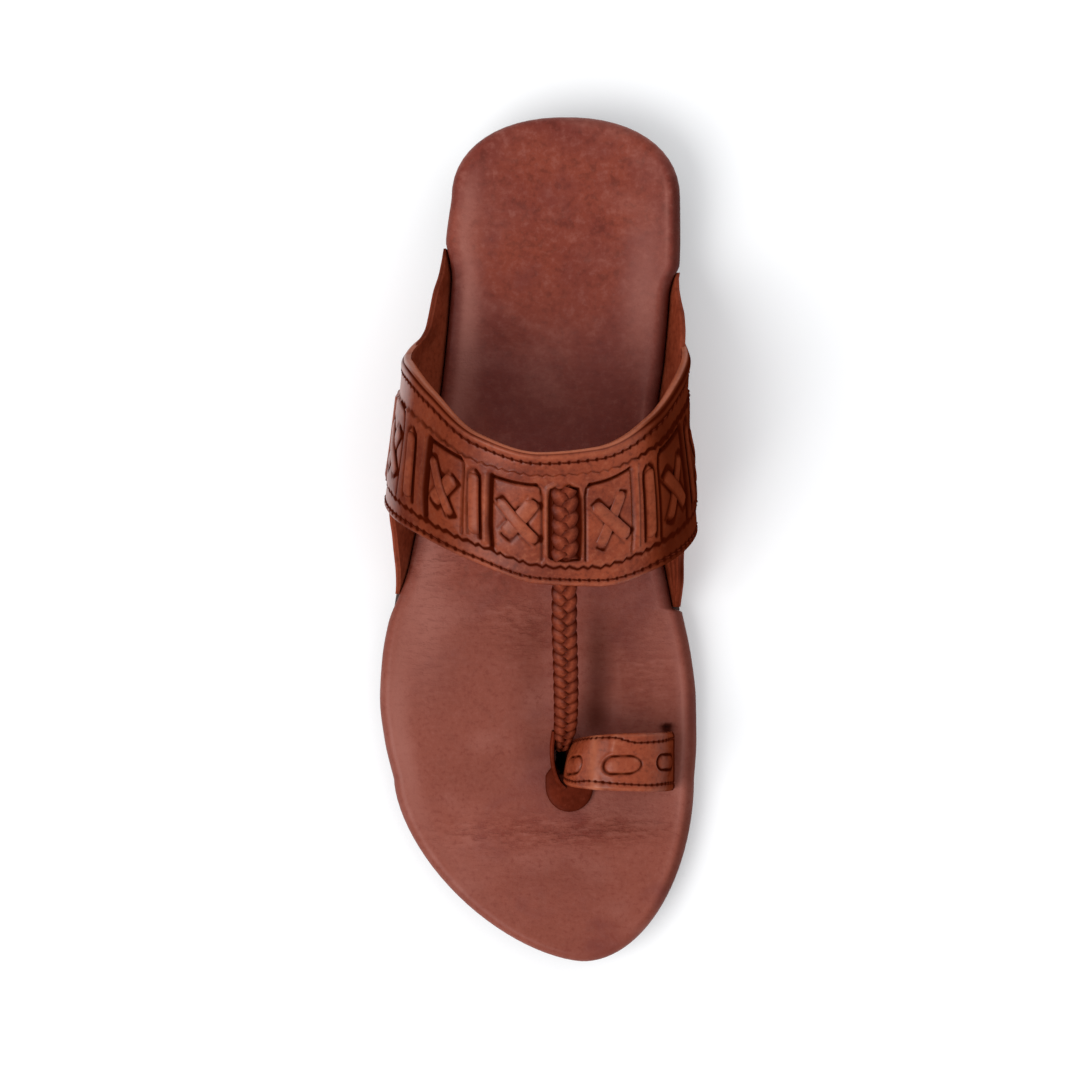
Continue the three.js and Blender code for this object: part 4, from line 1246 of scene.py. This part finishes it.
@dataclass
class InstepBand:
    """The broad band over the instep, with its overlay, its laced cells and its stitching."""

    instep: Instep
    bench: Bench
    thickness: float = 3.0
    overlap: float = 0.5
    overlay: float = 0.8
    rear_line: Table = (
        (-100, 12.0), (-57, 11.0), (-27, 9.2), (-13, 8.1), (16, 8.0), (28, 8.6), (41, 9.5), (84, 10.8),
    )
    front_line: Table = (
        (-100, 37.4), (-59, 39.0), (-48, 39.4), (-20, 38.8), (0, 39.6), (10, 39.3), (20, 38.3), (40, 37.8),
        (84, 37.6),
    )
    point_pitch: float = 3.7
    point_height: float = 0.5
    rear_seam: float = 3.9
    front_seam: float = 44.1
    seam_pitch: float = 3.15
    stitch_size: Place = (2.2, 0.34)
    window: tuple[float, float, float] = (4.6, 12.4, 37.4)
    plait_start: float = 12.7
    plait_length: float = 24.2
    rows: int = 124
    sections: int = 470
    crosses: Sequence[Cross] = (
        Cross(
            -7.4, -24.0, 11.2, 12.0, 0.7, 1.0,
            (over((-21.4, 19.6), (-9.2, 31.6)), under((-9.6, 17.0), (-19.4, 31.8), 4.8)),
        ),
        Cross(
            6.4, 22.9, 11.8, 10.0, 0.95, 0.4,
            (over((9.2, 18.5), (20.8, 31.2), 4.1), under((18.8, 16.0), (10.8, 33.2), 3.6)),
        ),
        Cross(
            -33.6, -48.4, 11.0, 13.0, 0.3, 1.0,
            (over((-46.7, 17.6), (-37.9, 33.2), 3.7), under((-37.2, 19.2), (-45.0, 31.8), 4.6)),
        ),
        Cross(
            34.2, 49.6, 11.0, 11.6, 0.9, 0.6,
            (over((36.6, 18.4), (47.4, 32.0), 4.0), under((46.2, 17.2), (37.8, 33.0), 4.0)),
        ),
        Cross(
            -64.6, -80.0, 12.0, 10.4, 0.9, 0.9,
            (over((-77.6, 18.2), (-67.4, 32.4)), under((-67.4, 18.4), (-77.2, 32.0))),
        ),
        Cross(
            61.6, 77.0, 11.8, 11.0, 0.8, 0.6,
            (over((64.2, 18.4), (74.6, 32.0)), under((74.2, 18.0), (64.4, 32.4))),
        ),
    )
    bars: Sequence[Bar] = (
        Bar(over((-30.2, 13.6), (-29.5, 36.2), 3.7), 0.3, 0.95),
        Bar(over((-58.6, 15.6), (-57.2, 36.2), 4.8), 0.35, 1.0),
        Bar(over((-87.6, 14.4), (-87.6, 35.6), 4.4), 0.6, 0.8),
        Bar(over((29.8, 13.4), (29.9, 35.4), 3.8), 0.8, 0.7),
        Bar(over((56.0, 13.4), (56.0, 35.4), 4.2), 0.7, 0.7),
    )
    # Lines beside the plait: painted shade in the pressed ones and painted highlights on the raised ones.
    plait_marks: Sequence[Mark] = (
        Mark(((-3.1, 12.4), (-4.5, 13.4), (-4.9, 16.5), (-4.9, 36.4)), 0.6, 0.9, 0.9),
        Mark(((1.2, 12.2), (3.6, 13.2), (4.6, 16.5), (4.8, 27.3), (4.4, 36.4)), 0.75, 0.9, 1.0),
        Mark(((-4.2, 36.9), (-0.5, 37.7), (4.2, 37.0)), 0.6, 0.7, 0.9),
        Mark(((-3.0, 11.0), (-5.4, 12.4), (-6.1, 15.0), (-6.1, 35.5)), 0.65, -0.55, 0.0, 0.35),
        Mark(((2.6, 11.2), (4.8, 12.4), (5.6, 15.0), (5.6, 35.5)), 0.5, -0.5, 0.0, 0.3),
        Mark(((25.4, 13.0), (25.2, 36.0)), 0.4, 0.3, 0.5),
        Mark(((-33.0, 13.0), (-32.4, 37.0)), 0.6, -0.25, 0.0, 0.2),
    )

    def __post_init__(self) -> None:
        """Makes the curves of the overlay's edges and gathers the worked lines."""
        (self.rear_edge,) = tracks(self.rear_line)
        (self.front_edge,) = tracks(self.front_line)
        self.marks = [*self.plait_marks]
        for cell in self.crosses:
            self.marks += cell.marks()
            for strip in cell.strips:
                self.marks += strip.marks()
        for bar in self.bars:
            self.marks += bar.marks()

    def _points(self, along: float) -> float:
        """Returns how far the overlay's pinked edge stands out at a distance from the plait."""
        phase = (along / self.point_pitch + 0.12 * math.sin(along * 0.9)) % 1.0
        height = self.point_height * (1 + 0.3 * math.sin(along * 1.7))
        return height * (2 * abs(2 * phase - 1) - 1)

    def end_shade(self, along: float) -> float:
        """Returns how much painted shade darkens the band towards its ends, at a distance from the plait."""
        return 0.64 * ramp(22, 40, along) + 0.42 * ramp(-16, -46, along) - 0.22 * ramp(-64, -78, along)

    def matt(self, along: float) -> float:
        """Returns how far the wax has gone at a distance from the plait, negative where it is thick."""
        return ramp(20, 34, along) + 0.7 * ramp(-16, -46, along) - 2.2 * ramp(-60, -68, along)

    def relief(self, along: float, back: float, level: float, marks: Sequence[Mark]) -> Spot:
        """Works out the band's surface at a place.

        Args:
            along: distance round the arch from the plait.
            back: distance from the rear edge.
            level: the same before the pinked edges' points were added.
            marks: the worked lines that may come near.

        Returns:
            A spot whose height is its lift off the band.
        """
        rear, front = self.rear_edge(along), self.front_edge(along)
        hole = needle_hole(along, self.seam_pitch, 0.62)
        # The rolled rear rim, with a painted highlight on its crown and painted shade in the folds beside it.
        lift = 0.45 * bell(back - 2.0, 1.3) - 0.3 * bell(back - 0.75, 0.3)
        dark = 0.55 * bell(back - 0.8, 0.3) + 0.25 * bell(back - 3.2, 0.4)
        worn_and_highlit = 0.8 * bell(back - 0.15, 0.4) + 0.35 * bell(back - 1.9, 0.8)
        # The two seams, sunk, with painted shade along them, darkest in the needle holes.
        for seam in (self.rear_seam, self.front_seam):
            lift -= (0.12 + 0.3 * hole) * bell(back - seam, 0.5)
            dark += (0.2 + 1.0 * hole) * bell(back - seam, 0.4 + 0.25 * hole)
        # The front edge, a little raised, with a painted highlight.
        lift += 0.25 * bell(back - 45.2, 0.7)
        worn_and_highlit += 0.35 * bell(back - 45.3, 0.5)
        # The overlay, with painted shade along its cut edges and a painted highlight just inside the front one.
        on = ramp(rear - 0.3, rear + 0.3, level) * (1 - ramp(front - 0.25, front + 0.25, level))
        lift += self.overlay * on
        rear_edge_shade = 0.2 + 0.7 * ramp(8, 30, along) + 0.1 * math.sin(along * 0.7)
        dark += 0.9 * bell(level - front - 0.4, 0.65) + rear_edge_shade * bell(level - rear + 0.3, 0.42)
        worn_and_highlit += 0.25 * bell(level - front + 0.8, 0.6)
        # The worked lines and their painted shade and highlights, which fade out before the overlay's front edge.
        inner = on * (1 - ramp(front - 2.2, front - 0.6, level))
        for mark in marks:
            felt = mark.strength(along, back)
            if felt > 0.01:
                lift -= inner * felt * mark.depth
                dark += felt * mark.dark * ramp(0.1, 0.9, on + 0.3)
                worn_and_highlit += inner * felt * mark.worn_and_highlit
        # The crossed cells, sunk at their sides and swelling towards the middle.
        for cell in self.crosses:
            inset = cell.inset(along, back, front)
            if inset > 0:
                lift += on * (0.6 * (1 - math.exp(-inset / 2.2)) - 0.3)
        # The window that the plait lies in, sunk and painted with shade.
        half, top, bottom = self.window
        if abs(along) < half and top < back < bottom:
            lift -= 0.9 * ramp(0, 1.2, min(half - abs(along), back - top, bottom - back))
            dark += 0.5
        # Painted shade towards the band's ends, which also dims its painted highlights.
        deep = self.end_shade(along)
        matt = self.matt(along)
        return Spot(Vector((0, 0, lift)), min(dark + deep, 1.1), min(worn_and_highlit * (1 - deep), 1.0), matt)

    def _profile(self, along: float) -> list[Spot]:
        """Returns the band's closed section at a distance from the plait."""
        girth = self.instep.girth_at(along)
        lining = self.thickness - self.overlap * (ramp(14, 6, girth) + ramp(166, 174, girth))
        depth = self.instep.depth
        marks = [mark for mark in self.marks if mark.near(along)]
        rear, front = self.rear_edge(along), self.front_edge(along)
        spots = []
        for k in range(self.rows + 1):
            level = depth * k / self.rows
            near = bell(level - front, 2.2) + 0.8 * bell(level - rear, 2.0)
            back = level + near * self._points(along)
            spot = self.relief(along, back, level, marks)
            edge = min(back, depth - back)
            lift = spot.at.z - 0.45 * bell(edge, 0.45)
            spots.append(spot.moved(self.instep.on_band(girth, back / depth, lift)))
        # The front lip and the lining are a little darker, and the rear lip has a painted highlight.
        for drop in (1.0, 1.8, 2.5):
            spots.append(Spot(self.instep.on_band(girth, 1.004, -drop), 0.25))
        for k in range(13):
            spots.append(Spot(self.instep.on_band(girth, 1 - k / 12, -lining), 0.3))
        for drop in (2.4, 1.7, 1.0):
            spots.append(Spot(self.instep.on_band(girth, -0.006, -drop), 0.1, 0.5))
        return spots

    def wall(self) -> None:
        """Makes the band's wall with all its relief."""
        bm = bmesh.new()
        first, last = self.instep.first_round, self.instep.last_round
        loft(bm, [self._profile(lerp(first, last, k / self.sections)) for k in range(self.sections + 1)])
        self.bench.lay("instep_band", bm, BAND_LEATHER, Slot.UPPER, ["upper"], crease=60)

    def _lay_strip(self, bm: BMesh, strip: Strip, height: Callable[[float], float]) -> None:
        """Adds a strip of leather that lies on the band.

        Args:
            bm: mesh that takes it.
            strip: its ends and width.
            height: its middle's lift off the band, at a share of its length.
        """
        steps = 26
        start, end = Vector(strip.start), Vector(strip.end)
        line = end - start
        aside = Vector((-line.y, line.x)).normalized()
        sections = []
        for k in range(steps + 1):
            share = k / steps
            middle = start + line * share
            tip = min(share, 1 - share) * line.length
            narrow = math.sqrt(max(0.12, 1 - max(0.0, 1 - tip / (strip.width * 0.45)) ** 2))
            ring = []
            for across, up in ring_of(strip.width * narrow, 1.0, 16, 0.85):
                place = middle + aside * across
                at = self.instep.by_distance(place.x, place.y, height(share) + up)
                # Painted shade along the strip's edges, at its dipping ends and towards the band's ends, and a painted
                # highlight on its crown.
                edge = bell(abs(across) - strip.width * narrow / 2, 0.45)
                sunk = bell(tip, 0.8)
                deep = 0.75 * self.end_shade(place.x)
                dark = min(1.0, 0.25 * edge + 0.4 * sunk + deep)
                worn_and_highlit = 0.3 * (1 - edge) * (1 - sunk) * (1 - deep)
                ring.append(Spot(at, dark, worn_and_highlit, self.matt(place.x)))
            sections.append(ring)
        loft(bm, sections)

    def lacing(self) -> None:
        """Makes the crossed strips and the upright bars."""
        bm = bmesh.new()
        for strip in [strip for cell in self.crosses for strip in cell.strips]:
            crossing = 0.4 if strip.lacing is Lacing.OVER else -0.25

            def height(share: float, crossing: float = crossing) -> float:
                """Returns the strip's lift: it dives at its ends and passes over or under in the middle."""
                dive = 0.5 * (bell(share, 0.07) + bell(1 - share, 0.07))
                return 0.95 + crossing * bell(share - 0.5, 0.22) - dive

            self._lay_strip(bm, strip, height)
        for bar in self.bars:

            def rise(share: float) -> float:
                """Returns a bar's lift, which is even but for its ends."""
                return 0.85 - 0.7 * (bell(share, 0.03) + bell(1 - share, 0.04))

            self._lay_strip(bm, bar.strip, rise)
        self.bench.lay("band_lacing", bm, BAND_LEATHER, Slot.UPPER)

    def stitches(self) -> None:
        """Makes the two rows of stitches along the band."""
        bm = bmesh.new()
        first, last = self.instep.first_round, self.instep.last_round
        for seam in (self.rear_seam, self.front_seam):
            for number in range(math.ceil(first / self.seam_pitch) + 1, math.floor(last / self.seam_pitch) - 1):
                along = number * self.seam_pitch
                centre = self.instep.by_distance(along, seam, -0.02)
                ahead = self.instep.by_distance(along + 0.5, seam + 0.06, -0.02)
                up = (self.instep.by_distance(along, seam, 1) - centre).normalized()
                stitch(bm, centre, (ahead - centre).normalized(), up, *self.stitch_size)
        self.bench.lay("band_stitches", bm, THREAD, Slot.UPPER)

    def plait(self) -> None:
        """Makes the plait in the middle of the band."""
        bm = bmesh.new()

        def place(reach: float, across: float, up: float) -> Vector:
            """Returns a point by its distance down the plait, across it and up from the band."""
            return self.instep.by_distance(across - 0.1, self.plait_start + reach, 0.5 + up)

        plait = Plait(pitch=15.4, sway=2.15, weave=0.6, width=4.6, thickness=1.2)
        plait.strands(bm, place, self.plait_length, lambda reach: 1.0)
        self.bench.lay("band_plait", bm, THONG_LEATHER, Slot.UPPER)

    def build(self) -> None:
        """Makes the whole band."""
        self.wall()
        self.lacing()
        self.stitches()
        self.plait()


def stitch(bm: BMesh, centre: Vector, along: Vector, up: Vector, length: float, radius: float) -> None:
    """Adds one stitch.

    Args:
        bm: mesh that takes it.
        centre: its middle.
        along: its direction.
        up: the direction away from the leather.
        length: its length.
        radius: half its thickness.
    """
    aside = along.cross(up).normalized()
    turn = Matrix((along, aside, up)).transposed().to_4x4()
    size = Matrix.Diagonal((length / 2, radius, radius, 1.0))
    bmesh.ops.create_uvsphere(
        bm, u_segments=6, v_segments=5, radius=1.0, matrix=Matrix.Translation(centre) @ turn @ size
    )


@dataclass
class Plait:
    """Three flat thongs plaited flat."""

    pitch: float
    sway: float
    weave: float
    width: float
    thickness: float

    def strands(
        self,
        bm: BMesh,
        place: Callable[[float, float, float], Vector],
        length: float,
        taper: Callable[[float], float],
    ) -> None:
        """Adds the three thongs.

        Args:
            bm: mesh that takes them.
            place: gives a point by its distance down the plait, across it and up from it.
            length: the plait's length.
            taper: gives the plait's width at a distance, as a share of its full width.
        """
        steps = max(12, round(length / self.pitch * 34))
        for strand in range(3):
            sections = []
            for k in range(steps + 1):
                reach = length * k / steps
                share = taper(reach)

                def middle(at: float, strand: int = strand, share: float = share) -> tuple[float, float]:
                    """Returns the thong's place across and up at a distance."""
                    turn = TAU * (at / self.pitch + strand / 3)
                    return self.sway * share * math.sin(turn), -self.weave * math.sin(2 * turn)

                across, up = middle(reach)
                slope = Vector(((middle(reach + 0.3)[0] - middle(reach - 0.3)[0]) / 0.6, 1.0)).normalized()
                lean = across / (self.sway * share)
                low = max(0.0, -up / self.weave)
                ring = []
                for aside, high in ring_of(self.width * share, self.thickness, 14, 0.7):
                    shift = Vector((slope.y, -slope.x)) * aside
                    at = place(reach + shift.y, across + shift.x, up + high - 0.22 * lean * aside)
                    # Painted shade at the thongs' edges and where they pass under, and a painted highlight along their
                    # crowns.
                    rim = bell(abs(aside) - self.width * share / 2, 0.75)
                    dark = min(1.0, 0.5 * rim + 0.75 * low + 0.1 * (high < 0))
                    ring.append(Spot(at, dark, 0.55 * (1 - low) * bell(aside, self.width * share * 0.28)))
                sections.append(ring)
            loft(bm, sections)


@dataclass
class ToeStrap:
    """The plaited strap from the band to the slit between the toes, and the tab at its foot.

    The line holds the strap's place and the share of its width, and the wall holds a place and the height there.
    """

    plan: SolePlan
    bench: Bench
    line: Table = (
        (7.7, -6, 74.2, 1.0), (7.7, -14, 71.4, 1.0), (7.8, -21, 67.0, 1.0), (7.8, -28, 61.6, 1.0),
        (8.3, -42, 49.0, 1.0), (8.5, -54, 36.6, 0.98), (8.3, -62, 26.4, 0.92), (7.4, -67.5, 16.5, 0.62),
        (7.2, -69.4, 10.5, 0.5),
    )
    tab_x: float = 9.8
    tab_half: float = 8.0
    tab_rear: float = -67.0
    tab_tip: float = -90.5
    tab_thickness: float = 1.6
    tab_rows: int = 36
    wall: Table = (
        (4.7, -63.4, 11), (4.0, -69.0, 9.5), (4.4, -75.0, 7), (6.0, -80.0, 4.5), (8.3, -82.8, 2.4),
    )
    wall_thickness: float = 1.6
    wall_steps: int = 30
    wall_section: Table = (
        (-1, 0), (-1, 0.4), (-1, 0.8), (-0.7, 0.97), (0, 1.0), (0.7, 0.97), (1, 0.8), (1, 0.4), (1, 0),
    )

    def strap(self) -> None:
        """Makes the plaited strap."""
        line = Line([Vector(row[:3]) for row in self.line])
        widths = Track((line.reach_near(Vector(row[:3])), row[3]) for row in self.line)
        bm = bmesh.new()

        def place(reach: float, across: float, up: float) -> Vector:
            """Returns a point by its distance down the strap, across it and up from it."""
            along = line.along(reach)
            aside = Vector((1, 0, 0))
            normal = aside.cross(along).normalized()
            normal = normal if normal.z > 0 else -normal
            return line.point(reach) + aside * across + normal * (up + 0.5)

        plait = Plait(pitch=15.4, sway=2.15, weave=0.75, width=4.1, thickness=1.6)
        plait.strands(bm, place, line.length - 0.5, widths)
        self.bench.lay("toe_strap", bm, THONG_LEATHER, Slot.UPPER)

    def _tongue(self, bm: BMesh) -> None:
        """Adds the tongue that lies on the footbed."""
        base = self.plan.footbed_top(self.tab_tip + self.tab_half) + self.plan.gap
        shoulder = self.tab_tip + self.tab_half * 1.15
        sections = []
        for k in range(self.tab_rows + 1):
            y = lerp(self.tab_tip, self.tab_rear, (k / self.tab_rows) ** 1.5)
            inward = max(0.0, (shoulder - y) / (shoulder - self.tab_tip))
            half = self.tab_half * math.sqrt(max(0.0015, 1 - inward**2.2)) - 3.6 * ramp(-79, -73, y)
            ring = []
            for across, up in ring_of(2 * half, self.tab_thickness, 32, 0.4):
                edge = min(half - abs(across), y - self.tab_tip)
                x = self.tab_x + across
                z = base + self.tab_thickness / 2 + up + (0.3 * bell(across, half * 0.6) if up > 0 else 0.0)
                # The slit beside the margin is painted black as shade, and the tongue's edges a little darker.
                margin = 4.6 + 3.4 * ramp(-74, -82, y)
                slit = ramp(margin, margin + 0.8, x) * ramp(-83.0, -81.8, y) * (1 - ramp(9.4, 11.0, x))
                ring.append(Spot(Vector((x, y, z)), min(2.0, 0.15 + 0.4 * bell(edge, 0.8) + 1.8 * slit)))
            sections.append(ring)
        loft(bm, sections)

    def _margin(self, bm: BMesh) -> None:
        """Adds the tongue's upright margin, which is highest at the strap."""
        edge_line = Line([Vector((x, y, top)) for x, y, top in self.wall])
        half = self.wall_thickness / 2
        sections = []
        for k in range(self.wall_steps + 1):
            at = edge_line.point(edge_line.length * k / self.wall_steps)
            along = edge_line.along(edge_line.length * k / self.wall_steps)
            aside = Vector((-along.y, along.x, 0)).normalized()
            low = self.plan.footbed_top(at.y) + 0.5
            ring = []
            for side, share in self.wall_section:
                place = Vector((at.x, at.y, 0)) + aside * side * half + Vector((0, 0, low + at.z * share))
                # The margin's outer side is painted black, as the slit's shade, and its top has a painted highlight.
                dark = 1.4 if side > 0 and share < 0.9 else 0.2
                ring.append(Spot(place, dark, 0.3 * (share == 1.0)))
            sections.append(ring)
        loft(bm, sections)

    def tab(self) -> None:
        """Makes the tab: the tongue on the footbed and its upright margin."""
        bm = bmesh.new()
        self._tongue(bm)
        self._margin(bm)
        self.bench.lay("toe_tab", bm, TAB_LEATHER, Slot.UPPER)

    def build(self) -> None:
        """Makes the strap and the tab."""
        self.strap()
        self.tab()


@dataclass
class ToeRing:
    """The ring strap round the big toe, with a lace that shows through three slots.

    A leg holds its x, how far that swings out at the rear, and y of its rear and front edges. The seams hold a distance
    along the strap and one in from its edge. A slot holds its middle along and across, and half its two sizes.
    """

    plan: SolePlan
    bench: Bench
    thickness: float = 2.4
    height: float = 27.0
    sink: float = 1.0
    power: float = 2.5
    outer: tuple[float, ...] = (8.9, 3.6, -66.6, -80.4)
    inner: tuple[float, ...] = (43.6, 0.0, -63.6, -83.4)
    rear_bow: float = 1.9
    leg_share: float = 0.12
    seam_pitch: float = 2.2
    stitch_size: Place = (1.5, 0.27)
    foot_y: float = -74.0
    columns: int = 260
    rows: int = 60
    rear_seam: Table = (
        (0, 1.8), (17, 0.8), (28, 0.9), (34, 1.2), (38, 2.3), (42, 3.1), (50, 2.8), (60, 1.9), (76, 1.8),
    )
    front_seam: Table = ((0, 2.0), (20, 1.9), (28, 2.8), (36, 2.4), (46, 2.1), (56, 2.6), (76, 2.3))
    slots: Sequence[tuple[float, float, float, float]] = (
        (17.6, 9.2, 5.9, 2.8), (37.6, 10.2, 5.9, 2.9), (54.6, 9.6, 5.4, 2.5),
    )

    def __post_init__(self) -> None:
        """Measures the strap's length and makes its curves."""
        shares = [k / 300 for k in range(301)]
        middles = [self.surface(share, 0.5, 0.0) for share in shares]
        reach = distances(middles)
        self.length = reach[-1]
        self.share_at = Track(zip(reach, shares))
        (self.rear_row,) = tracks(self.rear_seam)
        (self.front_row,) = tracks(self.front_seam)

    def spot(self, along: float, outer: float, inner: float) -> Vector:
        """Returns x and z of the ring's middle at a share of its length, for the places of its two legs."""
        base = self.plan.footbed_top(self.foot_y)
        leg = self.leg_share
        if along < leg:
            return Vector((outer, base - self.sink * (1 - along / leg)))
        if along > 1 - leg:
            return Vector((inner, base - self.sink * (1 - (1 - along) / leg)))
        turn = math.pi * (along - leg) / (1 - 2 * leg)
        out = powered(math.cos(turn), 2 / self.power)
        up = abs(math.sin(turn)) ** (2 / self.power)
        return Vector(((outer + inner) / 2 - out * (inner - outer) / 2, base + up * self.height))

    def edges(self, along: float) -> tuple[float, float]:
        """Returns y of the strap's rear and front edges at a share of its length."""
        bow = self.rear_bow * math.sin(math.pi * min(1.0, max(0.0, (along - 0.15) / 0.7)))
        return lerp(self.outer[2], self.inner[2], along) + bow, lerp(self.outer[3], self.inner[3], along)

    def surface(self, along: float, across: float, lift: float) -> Vector:
        """Returns a point by its shares along and across the strap and its lift off its middle."""
        outer = self.outer[0] + self.outer[1] * (1 - across) ** 2
        inner = self.inner[0] + self.inner[1] * (1 - across) ** 2
        rear, front = self.edges(along)
        at = self.spot(along, outer, inner)
        direction = (self.spot(along + 0.01, outer, inner) - self.spot(along - 0.01, outer, inner)).normalized()
        return Vector((at.x - direction.y * lift, lerp(rear, front, across), at.y + direction.x * lift))

    def relief(self, reach: float, back: float, width: float) -> Spot:
        """Works out the strap's surface at a place.

        Args:
            reach: distance along the strap.
            back: distance from its rear edge.
            width: the strap's width there.

        Returns:
            A spot whose height is its lift off the strap's outer face.
        """
        hole = needle_hole(reach, self.seam_pitch, 0.5)
        edge = min(back, width - back)
        lift = -0.5 * bell(edge, 0.5)
        # Two folds across the strap, with a hollow between them, painted with highlights on the folds and shade in the
        # hollow.
        fold = bell(reach - 27.0 - 0.15 * back, 2.4) + 0.7 * bell(reach - 34.0, 1.2) * (1 - ramp(4, 8, back))
        lift += 0.4 * fold - 0.2 * bell(reach - 31.8, 1.6)
        # Painted shade on the far side of the ring, which turns from the light, and painted highlights near the edges
        # and down one line there.
        dark = 0.07 + 0.12 * bell(reach - 31.8, 1.4) + 0.36 * ramp(42, 56, reach) + 0.4 * ramp(61, 64, reach)
        worn_and_highlit = 0.5 * fold + 0.35 * bell(edge - 0.7, 0.5) + 0.4 * bell(reach - 57.0 + 0.15 * back, 0.5)
        # The two seams, sunk, with painted shade along them, darkest in the needle holes.
        for row, place in ((self.rear_row(reach), back), (self.front_row(reach), width - back)):
            felt = bell(place - row, 0.36 + 0.12 * hole)
            lift -= (0.1 + 0.2 * hole) * felt
            dark += (0.45 + 0.6 * hole) * felt
        # The lace: a lip round each slot, a slit in painted shade, and the lace swelling inside with a painted
        # highlight.
        for middle, row, half_x, half_y in self.slots:
            squeeze = 1 + 0.25 * ramp(half_x * 0.3, half_x, reach - middle) * (30 < reach < 45)
            out = rounded_box(reach - middle, (back - row) * squeeze, half_x, half_y, half_y - 0.05)
            if out > 3:
                continue
            lift += 0.2 * bell(out - 0.8, 0.6) - 0.5 * bell(out, 0.4)
            dark += (0.7 + 0.2 * math.sin(reach * 1.3)) * bell(out, 0.42)
            if out < 0:
                lift += 0.45 * (1 - math.exp(out / 0.9))
                worn_and_highlit += 0.3 * bell(reach - middle + 2.2, 1.2) * (1 - math.exp(out / 0.9))
        matt = ramp(48, 57, reach) + ramp(18, 11, reach)
        return Spot(Vector((0, 0, lift)), min(dark, 1.0), min(worn_and_highlit * (1 - 0.5 * matt), 1.0), matt)

    def strap(self) -> None:
        """Makes the ring strap."""
        bm = bmesh.new()
        sections = []
        half = self.thickness / 2
        for i in range(self.columns + 1):
            reach = self.length * i / self.columns
            along = self.share_at(reach)
            rear, front = self.edges(along)
            ring = []
            for k in range(self.rows + 1):
                across = k / self.rows
                spot = self.relief(reach, across * (rear - front), rear - front)
                ring.append(spot.moved(self.surface(along, across, half + spot.at.z)))
            for drop in (0.2, -0.4, -0.9):
                ring.append(Spot(self.surface(along, 1.004, drop), 0.2))
            for k in range(7):
                ring.append(Spot(self.surface(along, 1 - k / 6, -half), 0.35))
            for drop in (-0.9, -0.4, 0.2):
                ring.append(Spot(self.surface(along, -0.004, drop), 0.2))
            sections.append(ring)
        loft(bm, sections)
        self.bench.lay("toe_ring_strap", bm, BAND_LEATHER, Slot.UPPER, ["toe_ring"], crease=60)

    def stitches(self) -> None:
        """Makes the two rows of stitches along the ring strap."""
        bm = bmesh.new()
        for number in range(4, math.floor(self.length / self.seam_pitch) - 3):
            reach = number * self.seam_pitch
            along, next_along = self.share_at(reach), self.share_at(reach + 0.4)
            rear, front = self.edges(along)
            rows = (self.rear_row(reach) / (rear - front), 1 - self.front_row(reach) / (rear - front))
            for across in rows:
                centre = self.surface(along, across, self.thickness / 2 - 0.03)
                ahead = self.surface(next_along, across, self.thickness / 2 - 0.03)
                up = (self.surface(along, across, self.thickness) - centre).normalized()
                stitch(bm, centre, (ahead - centre).normalized(), up, *self.stitch_size)
        self.bench.lay("toe_ring_stitches", bm, THREAD, Slot.UPPER)

    def build(self) -> None:
        """Makes the ring strap with its lace and its stitches."""
        self.strap()
        self.stitches()


@dataclass
class Studio:
    """The floor, the lights and the camera straight above the sandal, in metres.

    The view is as wide as is said at the footbed's height. A lamp has a name, a place, a side and a power in watts.
    """

    bench: Bench
    camera_place: tuple[float, float, float] = (0.00055, 0.0001, 1.312)
    footbed_height: float = 0.012
    view_width: float = 0.36
    floor_side: float = 4.0
    floor_drop: float = 0.0004
    lamps: Sequence[tuple[str, Colour, float, float]] = (
        ("key", (-1.0, -0.6, 1.6), 1.3, 24.0),
        ("fill", (1.3, 1.1, 1.3), 1.4, 4.0),
    )
    sky: Colour = (0.95, 0.97, 1.0)
    sky_strength: float = 0.72

    def floor(self) -> None:
        """Makes the pale floor."""
        bm = bmesh.new()
        bmesh.ops.create_grid(bm, x_segments=1, y_segments=1, size=self.floor_side)
        mesh = bpy.data.meshes.new("floor")
        bm.to_mesh(mesh)
        bm.free()
        floor = bpy.data.objects.new("floor", mesh)
        floor.location.z = -self.floor_drop
        bpy.context.scene.collection.objects.link(floor)
        mesh.materials.append(self.bench.material(FLOOR_PAPER))

    def light(self, name: str, place: Vector, size: float, power: float) -> None:
        """Adds a soft square light that faces the sandal.

        Args:
            name: the light's name.
            place: where it hangs, in metres.
            size: its side.
            power: its power in watts.
        """
        lamp = bpy.data.lights.new(name, "AREA")
        lamp.shape = "SQUARE"
        lamp.size = size
        lamp.energy = power
        hung = bpy.data.objects.new(name, lamp)
        hung.location = place
        hung.rotation_euler = (-place).to_track_quat("-Z", "Y").to_euler()
        bpy.context.scene.collection.objects.link(hung)

    def build(self) -> None:
        """Sets up the whole studio."""
        scene = bpy.context.scene
        camera = bpy.data.cameras.new("camera")
        camera.lens = camera.sensor_width * (self.camera_place[2] - self.footbed_height) / self.view_width
        held = bpy.data.objects.new("camera", camera)
        held.location = self.camera_place
        scene.collection.objects.link(held)
        scene.camera = held
        self.floor()
        for name, place, size, power in self.lamps:
            self.light(name, Vector(place), size, power)
        world = bpy.data.worlds.new("studio")
        world.use_nodes = True
        background = world.node_tree.nodes["Background"]
        background.inputs["Color"].default_value = (*self.sky, 1.0)
        background.inputs["Strength"].default_value = self.sky_strength
        scene.world = world
        scene.view_settings.view_transform = "Standard"
        LOG.info("studio ready")


def main() -> None:
    """Builds the sandal piece by piece."""
    logging.basicConfig(level=logging.INFO, format="%(name)s: %(message)s")
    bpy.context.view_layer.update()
    bench = Bench()
    plan = SolePlan()
    instep = Instep(plan)
    Studio(bench).build()
    Sole(plan, bench).build()
    Ears(instep, bench).build()
    InstepBand(instep, bench).build()
    ToeStrap(plan, bench).build()
    ToeRing(plan, bench).build()


if __name__ == "__main__":
    main()
